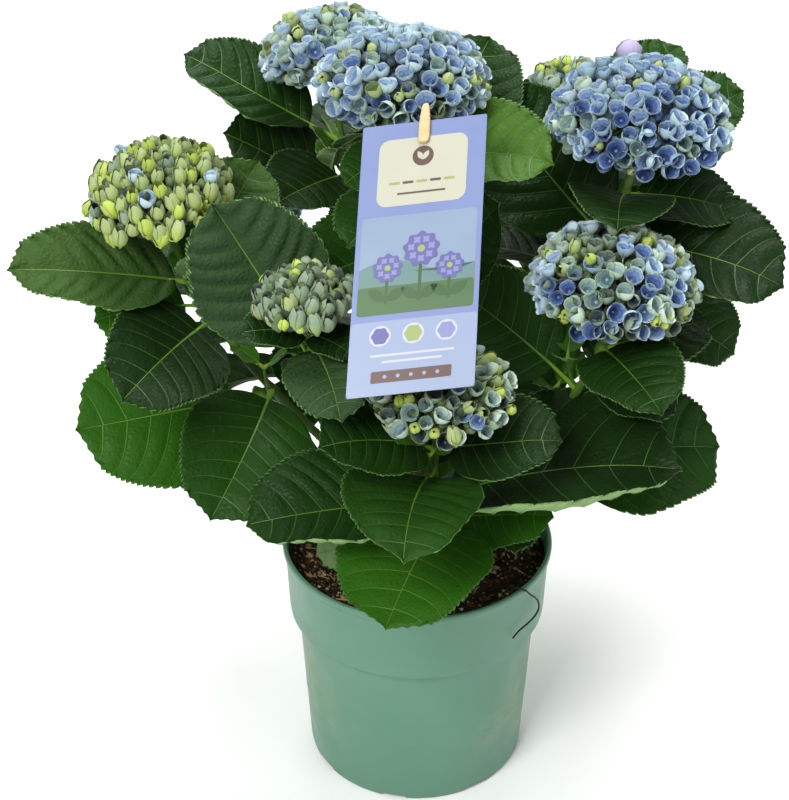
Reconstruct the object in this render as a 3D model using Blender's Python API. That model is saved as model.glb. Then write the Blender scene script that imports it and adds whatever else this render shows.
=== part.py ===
"""Potted mophead hydrangea: a short woody stem in a two-step nursery pot, boughs that fork from its
knuckle, each with a mass of opposite leaves and a domed flower head, and a card held by a small peg.

Lengths below are millimetres and angles are degrees; MM turns lengths to metres. The plant stands on
the pot's flat underside at the origin, +Z up, with its card to the -Y side.
"""

import math

import bpy
from mathutils import Matrix, Vector
from mathutils.bvhtree import BVHTree

MM = 0.001
GAP = 0.3

# Pot
POT_SEGMENTS = 48
POT_HEIGHT = 179.0
BASE_RADIUS = 78.5
STEP_HEIGHT = 119.0
BODY_TOP_RADIUS = 85.0
COLLAR_FOOT_RADIUS = 91.4
COLLAR_TOP_RADIUS = 93.4
RIM_RADIUS = 95.4
WALL = 1.8
NOTCHES = 8
NOTCH_WIDTH = 17.0
NOTCH_RISE = 3.2

# Soil
SOIL_LEVEL = 165.0
SOIL_RINGS = 5
SOIL_SEGMENTS = 36
SOIL_LUMP = 2.2
STEM_PAD = 22.0

# Woody foot
KNUCKLE_HEIGHT = 190.0
KNUCKLE_RADIUS = 16.0
FLARE_RADIUS = 18.0
WAIST_RADIUS = 12.5

# Shoots
FOOT_RADIUS = 3.3
TIP_RADIUS = 2.3
BOUGH_SIDES = 8
TWIG_SIDES = 6
BOUGH_STEPS = 5
MASS_STEPS = 6
NODE_SWELL = 1.25

# Leaves
BLADE_STATIONS = (0.045, 0.18, 0.355, 0.555, 0.755, 0.91)
PETIOLE_SHARE = 0.10
LEAF_BREADTH = 0.82
LEAF_THICKNESS = 2.2
LEAF_FOLD = 0.20
LEAF_SAG = 0.15
STRAIGHT_LIFT = 34.0
PETIOLE_HALF = 1.5
ROOT_OFFSET = 0.5
LEAF_ROOM = 5.0
FACE_SPREAD = 420.0
CLEARANCE = 0.7
LIFT_TRIES = (0, 4, -4, 8, -8, 13, -13, 18, -18, 24, -24)
TURN_TRIES = (0, 7, -7, 14, -14)
SIZE_TRIES = (1.0, 0.9)

# Flower heads
FLORETS_PER_AREA = 0.0070
FLORET_RIM = 9.8
CORE_SHARE = 0.86
DOME_TOP = 0.66
DOME_BELOW = 0.40
PEDUNCLE_RADIUS = 2.3

# Card and peg
CARD_TOP = (5.7, -40.9, 510.5)
CARD_FOOT = (-7.2, -160.6, 395.4)
CARD_SIDE = (0.991, 0.0, 0.13)
CARD_WIDTH = 70.0
CARD_THICKNESS = 0.8
PEG_WIDTH = 6.5
PEG_LENGTH = 26.0
PEG_DEPTH = 7.0

# Flowering shoots: where each leaves the knuckle (heading, lift), the middle of its head, the head's
# half width, the way the head faces (heading, lift), and the share of the shoot that is bare bough.
FLOWERING = {
    "left": (185, 48, (-163, -10, 453), 52, 215, 80, 0.40),
    "left_bud": (238, 48, (-70, -90, 421), 34, 240, 80, 0.45),
    "top_left": (122, 48, (-58, 112, 495), 51, 150, 84, 0.42),
    "top": (270, 88, (-11, 20, 511), 60, 270, 88, 0.40),
    "back_right": (55, 48, (104, 112, 470), 36, 60, 80, 0.45),
    "right_top": (5, 48, (138, 20, 485), 63, 330, 85, 0.48),
    "right": (318, 48, (118, -60, 412), 57, 300, 85, 0.45),
    "front": (258, 12, (11, -120, 372), 50, 270, 82, 0.50),
    "back_left": (130, 12, (-125, 150, 352), 44, 128, 60, 0.42),
    "back": (85, 12, (25, 172, 370), 42, 82, 62, 0.42),
    "back_side": (25, 12, (150, 140, 345), 44, 40, 58, 0.42),
}

# Leafy shoots with no flower: foot heading and lift, tip, the way the tip points, bare share.
LEAFY = {
    "low_left": (200, 12, (-112, 14, 292), 190, 30, 0.50),
    "low_front": (293, 12, (16, -86, 256), 285, 35, 0.50),
    "low_right": (331, 12, (80, -75, 290), 330, 45, 0.50),
    "low_back": (168, 12, (-95, 45, 320), 160, 50, 0.42),
}

# Leaves: how far up the shoot, then heading, reach and lift of each leaf that opens there, where it
# matters the share by which its face turns from straight up to the front, and for a leaf on a long
# petiole the petiole's share of the reach.
LEAVES = {
    "left": (
        (0.47, (251, 112, -19, 0.7),),
        (0.70, (231, 116, 0, 0.6, 0.20), (55, 80, 20, 0.4)),
        (0.74, (140, 95, 5),),
        (0.81, (203, 122, 16, 0.35), (45, 90, 48, 0.6)),
    ),
    "left_bud": (
        (0.60, (350, 65, 5), (110, 75, 5)),
        (0.76, (152, 128, 54, 0.6, 0.22), (300, 45, -5)),
        (0.88, (285, 72, -8, 0.4),),
        (0.94, (205, 45, 15, 0.3), (315, 40, 0)),
    ),
    "top_left": (
        (0.55, (150, 95, 0), (330, 70, 5)),
        (0.72, (196, 104, 36, 0.3), (20, 85, 10)),
        (0.78, (238, 84, 8, 0.4), (75, 110, 15)),
        (0.86, (170, 118, 29, 0.25, 0.20), (340, 70, 15)),
    ),
    "top": (
        (0.52, (315, 85, -8), (135, 95, 13)),
        (0.60, (330, 96, 40, 0.5, 0.2),),
        (0.68, (225, 92, 5, 0.4), (70, 95, 5)),
        (0.79, (57, 132, 38, 0.2, 0.2), (240, 70, 0, 0.3)),
        (0.90, (329, 108, 12, 0.35), (220, 48, -5, 0.4)),
    ),
    "back_right": (
        (0.60, (12, 110, -10), (200, 70, 10)),
        (0.76, (110, 115, 5), (290, 70, 0)),
        (0.84, (11, 138, 25, 0.4, 0.36), (175, 85, 40, 0.4)),
        (0.88, (38, 124, 27, 0.3, 0.32), (250, 50, 10, 0.3)),
    ),
    "right_top": (
        (0.69, (335, 104, -14, 0.35, 0.24), (165, 85, 10)),
        (0.78, (341, 126, 1, 0.35), (148, 126, 46, 0.5)),
        (0.87, (60, 90, -10),),
        (0.93, (260, 88, 12, 0.3), (350, 72, -5, 0.3)),
    ),
    "right": (
        (0.62, (125, 80, 25),),
        (0.72, (165, 108, 55, 0.6, 0.2),),
        (0.78, (50, 80, 25, 0.4), (330, 62, -8, 0.3)),
        (0.88, (20, 75, 5, 0.3),),
        (0.94, (290, 84, 0, 0.35), (95, 70, 30, 0.5)),
    ),
    "front": (
        (0.60, (350, 166, 16, 0.12), (198, 116, 4, 0.2)),
        (0.75, (260, 104, 5, 0.25), (80, 60, 15)),
        (0.86, (208, 84, 22, 0.3), (345, 80, 15, 0.3)),
    ),
    "back_left": (
        (0.56, (190, 115, -14), (60, 115, -5)),
        (0.74, (130, 125, -5), (290, 80, 15)),
        (0.88, (215, 95, 10), (40, 95, 0)),
    ),
    "back": (
        (0.56, (150, 115, 0), (340, 105, 0)),
        (0.74, (75, 125, -8), (245, 75, 15)),
        (0.88, (160, 95, 5), (340, 95, 5)),
    ),
    "back_side": (
        (0.56, (115, 115, -10), (325, 100, -8)),
        (0.74, (35, 125, -8), (215, 80, 10)),
        (0.88, (130, 95, 5), (305, 85, 5)),
    ),
    "low_left": (
        (0.95, (206, 136, 6, 0.6, 0.18),),
    ),
    "low_front": (
        (0.66, (35, 55, 10),),
        (0.95, (250, 108, -6, 0.1), (340, 76, 15, 0.3)),
    ),
    "low_right": (
        (0.68, (50, 95, -5), (270, 55, -10)),
        (0.95, (7, 122, -3, 0.4), (134, 55, 16)),
    ),
    "low_back": (
        (0.60, (90, 105, 0),),
        (0.95, (165, 115, -18), (330, 55, 10)),
    ),
}

COLOURS = {
    "pot": (0.13, 0.33, 0.25),
    "soil": (0.045, 0.028, 0.018),
    "wood": (0.12, 0.09, 0.05),
    "shoot": (0.10, 0.16, 0.05),
    "leaf": (0.02, 0.09, 0.02),
    "blue_head": (0.16, 0.24, 0.55),
    "green_head": (0.30, 0.45, 0.20),
    "card": (0.45, 0.52, 0.70),
    "peg": (0.60, 0.42, 0.22),
    "wire": (0.02, 0.03, 0.02),
}
GREEN_HEADS = ("left", "left_bud", "back_right")


def clear_scene():
    for old in list(bpy.data.objects):
        bpy.data.objects.remove(old, do_unlink=True)


def aim(heading, lift):
    """The unit vector at a compass heading from +X and a lift above level."""
    h = math.radians(heading)
    e = math.radians(lift)
    return Vector((math.cos(h) * math.cos(e), math.sin(h) * math.cos(e), math.sin(e)))


def material(name, colour, roughness):
    made = bpy.data.materials.new(name)
    made.use_nodes = True
    shader = made.node_tree.nodes["Principled BSDF"]
    shader.inputs["Base Color"].default_value = (*colour, 1.0)
    shader.inputs["Roughness"].default_value = roughness
    return made


def add_mesh(name, points, faces, smooth=True):
    """A mesh object from points in millimetres."""
    mesh = bpy.data.meshes.new(name)
    mesh.from_pydata([tuple(Vector(p) * MM) for p in points], [], faces)
    mesh.validate()
    mesh.polygons.foreach_set("use_smooth", [smooth] * len(mesh.polygons))
    made = bpy.data.objects.new(name, mesh)
    bpy.context.scene.collection.objects.link(made)
    return made


def finish(obj, colour, roughness=0.5):
    obj.data.materials.clear()
    obj.data.materials.append(material(obj.name, COLOURS[colour], roughness))


def loft(rings, tip=None):
    """Points and faces of a closed skin over equal rings, flat at the first and at the last or tipped."""
    sides = len(rings[0])
    points = [p for ring in rings for p in ring]
    faces = [tuple(range(sides))[::-1]]
    for k in range(len(rings) - 1):
        low = k * sides
        for i in range(sides):
            j = (i + 1) % sides
            faces.append((low + i, low + j, low + sides + j, low + sides + i))
    last = (len(rings) - 1) * sides
    if tip is None:
        faces.append(tuple(range(last, last + sides)))
    else:
        points.append(tip)
        top = len(points) - 1
        faces += [(last + i, last + (i + 1) % sides, top) for i in range(sides)]
    return points, faces


def tube(line, radii, sides):
    """Points and faces of a round tube along a line, its rings turned as little as they can be."""
    ways = [(line[min(k + 1, len(line) - 1)] - line[max(k - 1, 0)]).normalized() for k in range(len(line))]
    across = ways[0].orthogonal().normalized()
    rings = []
    for centre, way, radius in zip(line, ways, radii):
        across = (across - way * across.dot(way)).normalized()
        beside = way.cross(across)
        ring = []
        for i in range(sides):
            turn = 2 * math.pi * i / sides
            ring.append(centre + (across * math.cos(turn) + beside * math.sin(turn)) * radius)
        rings.append(ring)
    return loft(rings)


def turned(profile, segments, centre=(0.0, 0.0)):
    """Points and faces of a closed solid turned about Z from (radius, height) pairs, on the axis at both ends."""
    points = []
    rows = []
    for radius, height in profile:
        if radius == 0:
            rows.append([len(points)] * segments)
            points.append((centre[0], centre[1], height))
            continue
        rows.append([len(points) + i for i in range(segments)])
        for i in range(segments):
            turn = 2 * math.pi * i / segments
            points.append((centre[0] + radius * math.cos(turn), centre[1] + radius * math.sin(turn), height))
    faces = []
    for low, high in zip(rows, rows[1:]):
        for i in range(segments):
            j = (i + 1) % segments
            corners = [low[i], low[j], high[j], high[i]]
            kept = [c for n, c in enumerate(corners) if c not in corners[:n]]
            faces.append(tuple(kept))
    return points, faces


def union(name, pieces, solver="MANIFOLD"):
    """The first piece joined with all the rest by one Boolean on their collection."""
    body = pieces[0]
    body.name = name
    group = bpy.data.collections.new(name + "_parts")
    for piece in pieces[1:]:
        bpy.context.scene.collection.objects.unlink(piece)
        group.objects.link(piece)
    join = body.modifiers.new("join", "BOOLEAN")
    join.operation = "UNION"
    join.operand_type = "COLLECTION"
    join.collection = group
    join.solver = solver
    bpy.context.view_layer.update()
    shape = bpy.data.meshes.new_from_object(body.evaluated_get(bpy.context.evaluated_depsgraph_get()))
    body.modifiers.clear()
    body.data = shape
    for piece in list(group.objects):
        bpy.data.objects.remove(piece, do_unlink=True)
    bpy.data.collections.remove(group)
    return body


def tree_of(points, faces):
    return BVHTree.FromPolygons([tuple(p) for p in points], faces)


# ---------------------------------------------------------------- shoots and leaves


class Shoot:
    """The curve of one shoot from the knuckle to its tip, and the pieces that grow on it."""

    def __init__(self, name):
        self.name = name
        self.flowering = name in FLOWERING
        if self.flowering:
            foot_heading, foot_lift, middle, half, heading, lift, bare = FLOWERING[name]
            self.axis = aim(heading, lift)
            self.middle = Vector(middle)
            self.half = half
            end = self.middle - self.axis * half * DOME_BELOW
        else:
            foot_heading, foot_lift, tip, heading, lift, bare = LEAFY[name]
            self.axis = aim(heading, lift)
            end = Vector(tip)
        out = aim(foot_heading, foot_lift)
        foot = Vector((0, 0, KNUCKLE_HEIGHT)) + out * (KNUCKLE_RADIUS + GAP)
        handle = (end - foot).length * 0.33
        self.corners = (foot, foot + out * handle, end - self.axis * handle, end)
        self.length = (end - foot).length
        self.bare = bare
        self.top = 1.0
        if self.flowering:
            self.top = 1.0 - 0.35 * self.half / self.length
        self.placed = []

    def at(self, share):
        a, b, c, d = self.corners
        rest = 1 - share
        return a * rest**3 + b * 3 * share * rest**2 + c * 3 * share**2 * rest + d * share**3

    def radius(self, share):
        return FOOT_RADIUS + (TIP_RADIUS - FOOT_RADIUS) * share

    def stretch(self, start, end, steps, sides):
        """The tube of this shoot between two shares, swollen where leaves open."""
        nodes = [row[0] for row in LEAVES[self.name]]
        shares = [start + (end - start) * k / steps for k in range(steps + 1)]
        inner = [n for n in nodes if start + 0.012 < n < end - 0.012]
        shares = sorted({s for s in shares if all(abs(s - n) > 0.02 for n in inner)} | set(inner) | {start, end})
        line = [self.at(s) for s in shares]
        radii = [self.radius(s) * (NODE_SWELL if s in inner else 1.0) for s in shares]
        return tube(line, radii, sides)


def blade_half_width(along):
    """Half the blade's width at a share of its length, as a part of its widest half."""
    return math.sin(math.pi * along**0.80) ** 0.72 * (1.0 - 0.16 * along**4)


def facing(middle, share):
    """The way a leaf turns its face: up, and by a share to the front, or by rule outwards, back or front."""
    if share is None:
        share = max(-0.4, min(0.35, -middle.y / FACE_SPREAD))
    way = Vector((0, -1, 0)) if share > 0 else Vector((0, 1, 0))
    return Vector((0, 0, 1)) * (1 - abs(share)) + way * abs(share)


def leaf_shape(root, heading, reach, lift, face, petiole, fat=0.0, first=0):
    """Points and faces of one leaf: a petiole and a blade folded at its midrib, whose tip is out at reach."""
    chord = aim(heading, lift)
    over = facing(root + chord * reach / 2, face)
    over = (over - chord * over.dot(chord)).normalized()
    side = over.cross(chord)
    tip = root + chord * (reach + fat)
    # A level leaf bows over its middle, and a steep one is straight or cupped.
    bend = root + chord * reach * 0.5 + over * reach * LEAF_SAG * (1 - max(0.0, lift) / STRAIGHT_LIFT)
    begin = root + chord * ROOT_OFFSET
    blade = 1 - petiole
    widest = reach * blade * LEAF_BREADTH / 2
    stations = [(0.0, 0.0), (petiole - 0.01, 0.0)]
    stations += [(petiole + blade * along, blade_half_width(along) * widest) for along in BLADE_STATIONS]
    rings = []
    for share, half in stations[first:]:
        rest = 1 - share
        centre = begin * rest**2 + bend * 2 * share * rest + tip * share**2
        along = ((bend - begin) * rest + (tip - bend) * share).normalized()
        normal = along.cross(side).normalized()
        thick = (LEAF_THICKNESS / 2 if half else PETIOLE_HALF) + fat
        half = max(PETIOLE_HALF, half) + fat
        rise = normal * (half - PETIOLE_HALF) * LEAF_FOLD
        rings.append(
            (
                centre + side * half + rise,
                centre + normal * thick,
                centre - side * half + rise,
                centre - normal * thick,
            )
        )
    return loft(rings, tip)


def tries():
    """The small changes that a leaf may take to keep clear, the smallest first."""
    made = [
        (abs(lift) + 0.8 * abs(turn) + 120 * (1 - size), lift, turn, size)
        for lift in LIFT_TRIES
        for turn in TURN_TRIES
        for size in SIZE_TRIES
    ]
    return [row[1:] for row in sorted(made, key=lambda row: row[0])]


def place_leaf(shoot, share, heading, reach, lift, face, petiole, others, own):
    """The leaf as it can stand clear of every other limb, leaf and head, or None."""
    root = shoot.at(share)
    for more_lift, turn, size in tries():
        pose = (heading + turn, reach * size, lift + more_lift, face, petiole)
        whole = tree_of(*leaf_shape(root, *pose, fat=CLEARANCE))
        if any(whole.overlap(tree) for tree in others):
            continue
        blade = tree_of(*leaf_shape(root, *pose, fat=CLEARANCE, first=2))
        if any(blade.overlap(tree) for tree in own):
            continue
        return pose
    return None


# ---------------------------------------------------------------- flower heads


def head_directions(count, lowest):
    """Directions spread evenly over a dome about +Z, from its pole to the lowest height."""
    made = []
    for k in range(count):
        z = 1 - (1 - lowest) * (k + 0.5) / count
        ring = math.sqrt(max(0.0, 1 - z * z))
        turn = k * math.pi * (3 - math.sqrt(5))
        made.append(Vector((ring * math.cos(turn), ring * math.sin(turn), z)))
    return made


def dome(direction, half):
    """The head's outer surface in a direction, flatter above and below than it is wide."""
    height = DOME_TOP if direction.z >= 0 else DOME_BELOW
    return Vector((direction.x * half, direction.y * half, direction.z * half * height))


def floret(direction, half):
    """Points and faces of one four-cornered floret on a cone whose point is deep in the core."""
    out = dome(direction, half - 1.0)
    steep = 1 / DOME_TOP**2 if direction.z > 0 else 0.6
    way = Vector((out.x, out.y, out.z * steep)).normalized()
    across = way.orthogonal().normalized()
    beside = way.cross(across)
    rim = []
    for i in range(4):
        turn = math.pi / 2 * i + direction.x * 3
        rim.append(out + (across * math.cos(turn) + beside * math.sin(turn)) * FLORET_RIM - way)
    faces = [(0, 1 + (i + 1) % 4, 1 + i) for i in range(4)]
    return [out * 0.50, *rim], [*faces, (1, 2, 3, 4)]


def head_pieces(shoot):
    """The pieces of one flower head, its peduncle first, each as points and faces."""
    stand = Vector((0, 0, 1)).rotation_difference(shoot.axis).to_matrix()
    half = shoot.half
    start = shoot.top + GAP / shoot.length
    line = [shoot.at(start + (1 - start) * k / 3) for k in range(4)]
    line.append(shoot.middle)
    pieces = [tube(line, [PEDUNCLE_RADIUS] * 5, 6)]
    inner = half * CORE_SHARE
    profile = [
        (0, -half * DOME_BELOW * 0.98),
        (inner * 0.62, -half * DOME_BELOW * 0.55),
        (inner, 0),
        (inner * 0.80, half * DOME_TOP * CORE_SHARE * 0.60),
        (inner * 0.42, half * DOME_TOP * CORE_SHARE * 0.91),
        (0, half * DOME_TOP * CORE_SHARE),
    ]
    core, core_faces = turned(profile, 10)
    pieces.append(([shoot.middle + stand @ Vector(p) for p in core], core_faces))
    count = round(FLORETS_PER_AREA * half * half)
    for direction in head_directions(count, -0.45):
        points, faces = floret(direction, half)
        pieces.append(([shoot.middle + stand @ p for p in points], faces))
    return pieces


# ---------------------------------------------------------------- pot and soil


def inner_radius(height):
    """The radius of the pot's inside at a height."""
    if height >= STEP_HEIGHT + 6:
        share = (height - STEP_HEIGHT - 6) / (POT_HEIGHT - STEP_HEIGHT - 6)
        return COLLAR_FOOT_RADIUS - WALL + (COLLAR_TOP_RADIUS - COLLAR_FOOT_RADIUS) * share
    if height >= STEP_HEIGHT:
        share = (height - STEP_HEIGHT) / 6
        return BODY_TOP_RADIUS - WALL + (COLLAR_FOOT_RADIUS - BODY_TOP_RADIUS) * share
    return BASE_RADIUS - WALL + (BODY_TOP_RADIUS - BASE_RADIUS) * height / STEP_HEIGHT


def make_pot():
    outer = [
        (0, 0),
        (BASE_RADIUS - 2.4, 0),
        (BASE_RADIUS - 0.4, 1.8),
        (BASE_RADIUS + 0.3, 7),
        (BODY_TOP_RADIUS, STEP_HEIGHT - 2),
        (BODY_TOP_RADIUS + 1.5, STEP_HEIGHT + 1),
        (COLLAR_FOOT_RADIUS - 1, STEP_HEIGHT + 4.5),
        (COLLAR_FOOT_RADIUS, STEP_HEIGHT + 7),
        (COLLAR_TOP_RADIUS, POT_HEIGHT - 6),
        (RIM_RADIUS - 0.4, POT_HEIGHT - 4.5),
        (RIM_RADIUS, POT_HEIGHT - 2.5),
        (RIM_RADIUS - 0.6, POT_HEIGHT),
    ]
    floor = 3.0
    inside = [
        (inner_radius(POT_HEIGHT) + 0.6, POT_HEIGHT),
        (inner_radius(POT_HEIGHT - 2), POT_HEIGHT - 2),
        (inner_radius(STEP_HEIGHT + 6), STEP_HEIGHT + 6),
        (inner_radius(STEP_HEIGHT), STEP_HEIGHT),
        (inner_radius(floor), floor),
        (0, floor),
    ]
    pot = add_mesh("pot", *turned(outer + inside, POT_SEGMENTS))
    for k in range(NOTCHES):
        notch_points = []
        for z in (-1.0, NOTCH_RISE):
            for x in (BASE_RADIUS - 7.0, BASE_RADIUS + 3.0):
                for y in (-NOTCH_WIDTH / 2, NOTCH_WIDTH / 2):
                    notch_points.append((x, y * (1.0 if z < 0 else 0.7), z))
        notch_faces = [(0, 1, 3, 2), (4, 6, 7, 5), (0, 4, 5, 1), (2, 3, 7, 6), (0, 2, 6, 4), (1, 5, 7, 3)]
        notch = add_mesh(f"notch_{k}", notch_points, notch_faces, smooth=False)
        notch.matrix_world = Matrix.Rotation(2 * math.pi * (k + 0.72) / NOTCHES, 4, "Z")
        notch.hide_render = True
        notch.display_type = "WIRE"
        cut = pot.modifiers.new(f"notch_{k}", "BOOLEAN")
        cut.operation = "DIFFERENCE"
        cut.solver = "EXACT"
        cut.object = notch
    finish(pot, "pot", 0.45)
    return pot


def soil_height(radius, turn):
    """The soil's surface: level round the stem, lumpy beyond it."""
    if radius <= STEM_PAD:
        return SOIL_LEVEL
    lump = math.sin(turn * 3 + radius * 0.11) + 0.7 * math.sin(turn * 7 - radius * 0.23 + 1)
    return SOIL_LEVEL + SOIL_LUMP * lump * min(1.0, (radius - STEM_PAD) / 12)


def make_soil():
    edge = inner_radius(SOIL_LEVEL) - 2 * GAP
    below = [
        (0, 3.3),
        (inner_radius(3) - 2 * GAP, 3.3),
        (inner_radius(STEP_HEIGHT) - 2 * GAP, STEP_HEIGHT),
        (inner_radius(STEP_HEIGHT + 6) - 2 * GAP, STEP_HEIGHT + 6.3),
        (edge, SOIL_LEVEL - 4),
    ]
    points, faces = turned(below, SOIL_SEGMENTS)
    row = list(range(len(points) - SOIL_SEGMENTS, len(points)))
    # The surface goes in from the wall ring by ring to the level pad round the stem.
    radii = [edge - (edge - STEM_PAD) * k / (SOIL_RINGS - 1) for k in range(SOIL_RINGS)]
    for radius in radii:
        fresh = []
        for i in range(SOIL_SEGMENTS):
            turn = 2 * math.pi * i / SOIL_SEGMENTS
            fresh.append(len(points))
            points.append((radius * math.cos(turn), radius * math.sin(turn), soil_height(radius, turn)))
        for i in range(SOIL_SEGMENTS):
            j = (i + 1) % SOIL_SEGMENTS
            faces.append((row[i], row[j], fresh[j], fresh[i]))
        row = fresh
    faces.append(tuple(row))
    soil = add_mesh("soil", points, faces)
    finish(soil, "soil", 0.95)
    return soil


def make_main_stem():
    low = SOIL_LEVEL + GAP
    profile = [
        (0, low),
        (FLARE_RADIUS, low),
        (FLARE_RADIUS - 2.2, low + 1.5),
        (WAIST_RADIUS, low + 5.5),
        (WAIST_RADIUS - 0.3, low + 9.0),
    ]
    steps = 7
    for k in range(steps + 1):
        angle = math.radians(-52 + (90 + 52) * k / steps)
        radius = KNUCKLE_RADIUS * math.cos(angle)
        if k == steps:
            radius = 0
        profile.append((radius, KNUCKLE_HEIGHT + KNUCKLE_RADIUS * math.sin(angle)))
    stem = add_mesh("main_stem", *turned(profile, 20))
    finish(stem, "wood", 0.8)
    return stem


def knuckle_room():
    """A ball a gap larger than the knuckle, which trims the boughs' feet to sit round it."""
    profile = []
    steps = 12
    for k in range(steps + 1):
        angle = math.pi * (k / steps - 0.5)
        radius = (KNUCKLE_RADIUS + GAP) * math.cos(angle)
        if k in (0, steps):
            radius = 0
        profile.append((radius, KNUCKLE_HEIGHT + (KNUCKLE_RADIUS + GAP) * math.sin(angle)))
    room = add_mesh("knuckle_room", *turned(profile, 20))
    room.hide_render = True
    room.display_type = "WIRE"
    return room


# ---------------------------------------------------------------- card, peg and wire


def box_on(centre, along, across, up, size):
    """Points and faces of a box about a centre on three unit directions."""
    points = []
    for a in (-0.5, 0.5):
        for b in (-0.5, 0.5):
            for c in (-0.5, 0.5):
                points.append(centre + along * a * size[0] + across * b * size[1] + up * c * size[2])
    faces = [(0, 1, 3, 2), (4, 6, 7, 5), (0, 4, 5, 1), (2, 3, 7, 6), (0, 2, 6, 4), (1, 5, 7, 3)]
    return points, faces


def card_frame():
    top = Vector(CARD_TOP)
    down = (Vector(CARD_FOOT) - top).normalized()
    side = Vector(CARD_SIDE)
    side = (side - down * side.dot(down)).normalized()
    face = side.cross(down) * -1
    if face.z < 0:
        face = face * -1
    return top, down, side, face


def make_card():
    top, down, side, face = card_frame()
    length = (Vector(CARD_FOOT) - top).length
    half = CARD_WIDTH / 2
    corner = 3.0
    outline = [
        (0, -half + corner),
        (0, half - corner),
        (corner, half),
        (length - corner, half),
        (length, half - corner),
        (length, -half + corner),
        (length - corner, -half),
        (corner, -half),
    ]
    low = [top + down * a + side * b for a, b in outline]
    high = [p + face * CARD_THICKNESS for p in low]
    points, faces = loft([low, high])
    if (points[1] - points[0]).cross(points[2] - points[1]).dot(face) < 0:
        faces = [f[::-1] for f in faces]
    card = add_mesh("tag_card", points, faces, smooth=False)
    finish(card, "card", 0.4)
    return card, (points, faces)


def make_peg():
    """A small sprung clothes peg over the card's top edge: two legs, joined at the back of the mouth."""
    top, down, side, face = card_frame()
    middle = top + down * 2.0 + face * CARD_THICKNESS / 2
    leg = PEG_DEPTH / 2 - CARD_THICKNESS / 2 - GAP
    reach = CARD_THICKNESS / 2 + GAP + leg / 2
    front = box_on(middle + face * reach, down, side, face, (PEG_LENGTH, PEG_WIDTH, leg))
    back = box_on(middle - face * reach, down, side, face, (PEG_LENGTH * 0.98, PEG_WIDTH * 0.98, leg))
    bridge_centre = middle - down * (2.0 + GAP + 3.5)
    bridge = box_on(bridge_centre, down, side, face, (4.0, PEG_WIDTH * 0.8, PEG_DEPTH * 0.7))
    pieces = []
    for number, shape in enumerate((front, back, bridge)):
        pieces.append(add_mesh(f"peg_{number}", *outward(shape), smooth=False))
    peg = union("tag_peg", pieces)
    finish(peg, "peg", 0.6)
    return peg


def outward(shape):
    """The same closed shape with its faces turned out."""
    points, faces = shape
    middle = sum((Vector(p) for p in points), Vector()) / len(points)
    total = 0.0
    for face in faces:
        a = Vector(points[face[0]]) - middle
        for i in range(1, len(face) - 1):
            b = Vector(points[face[i]]) - middle
            c = Vector(points[face[i + 1]]) - middle
            total += a.dot(b.cross(c))
    if total > 0:
        return points, faces
    return points, [face[::-1] for face in faces]


def make_wire():
    """A thin stiff thread that hooks over the rim from the soil and hangs outside it."""
    turn = math.radians(-33)
    out = Vector((math.cos(turn), math.sin(turn), 0))
    beside = Vector((-math.sin(turn), math.cos(turn), 0))
    up = Vector((0, 0, 1))
    inner = inner_radius(POT_HEIGHT) - 3.0
    course = [
        (inner, 0.0, SOIL_LEVEL + 5.5),
        (inner + 0.6, 1.0, POT_HEIGHT - 4),
        (inner + 1.4, 2.0, POT_HEIGHT + 1.6),
        (RIM_RADIUS + 0.8, 3.4, POT_HEIGHT + 1.5),
        (RIM_RADIUS + 3.2, 5.0, POT_HEIGHT - 5),
        (RIM_RADIUS + 3.4, 4.4, POT_HEIGHT - 14),
        (RIM_RADIUS + 1.6, 0.0, POT_HEIGHT - 24),
        (RIM_RADIUS - 0.6, -7.0, POT_HEIGHT - 33),
        (RIM_RADIUS - 1.4, -12.0, POT_HEIGHT - 36),
    ]
    line = [out * a + beside * b + up * c for a, b, c in course]
    wire = add_mesh("rim_wire", *outward(tube(line, [0.7] * len(line), 6)))
    finish(wire, "wire", 0.6)
    return wire


# ---------------------------------------------------------------- the whole plant


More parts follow.
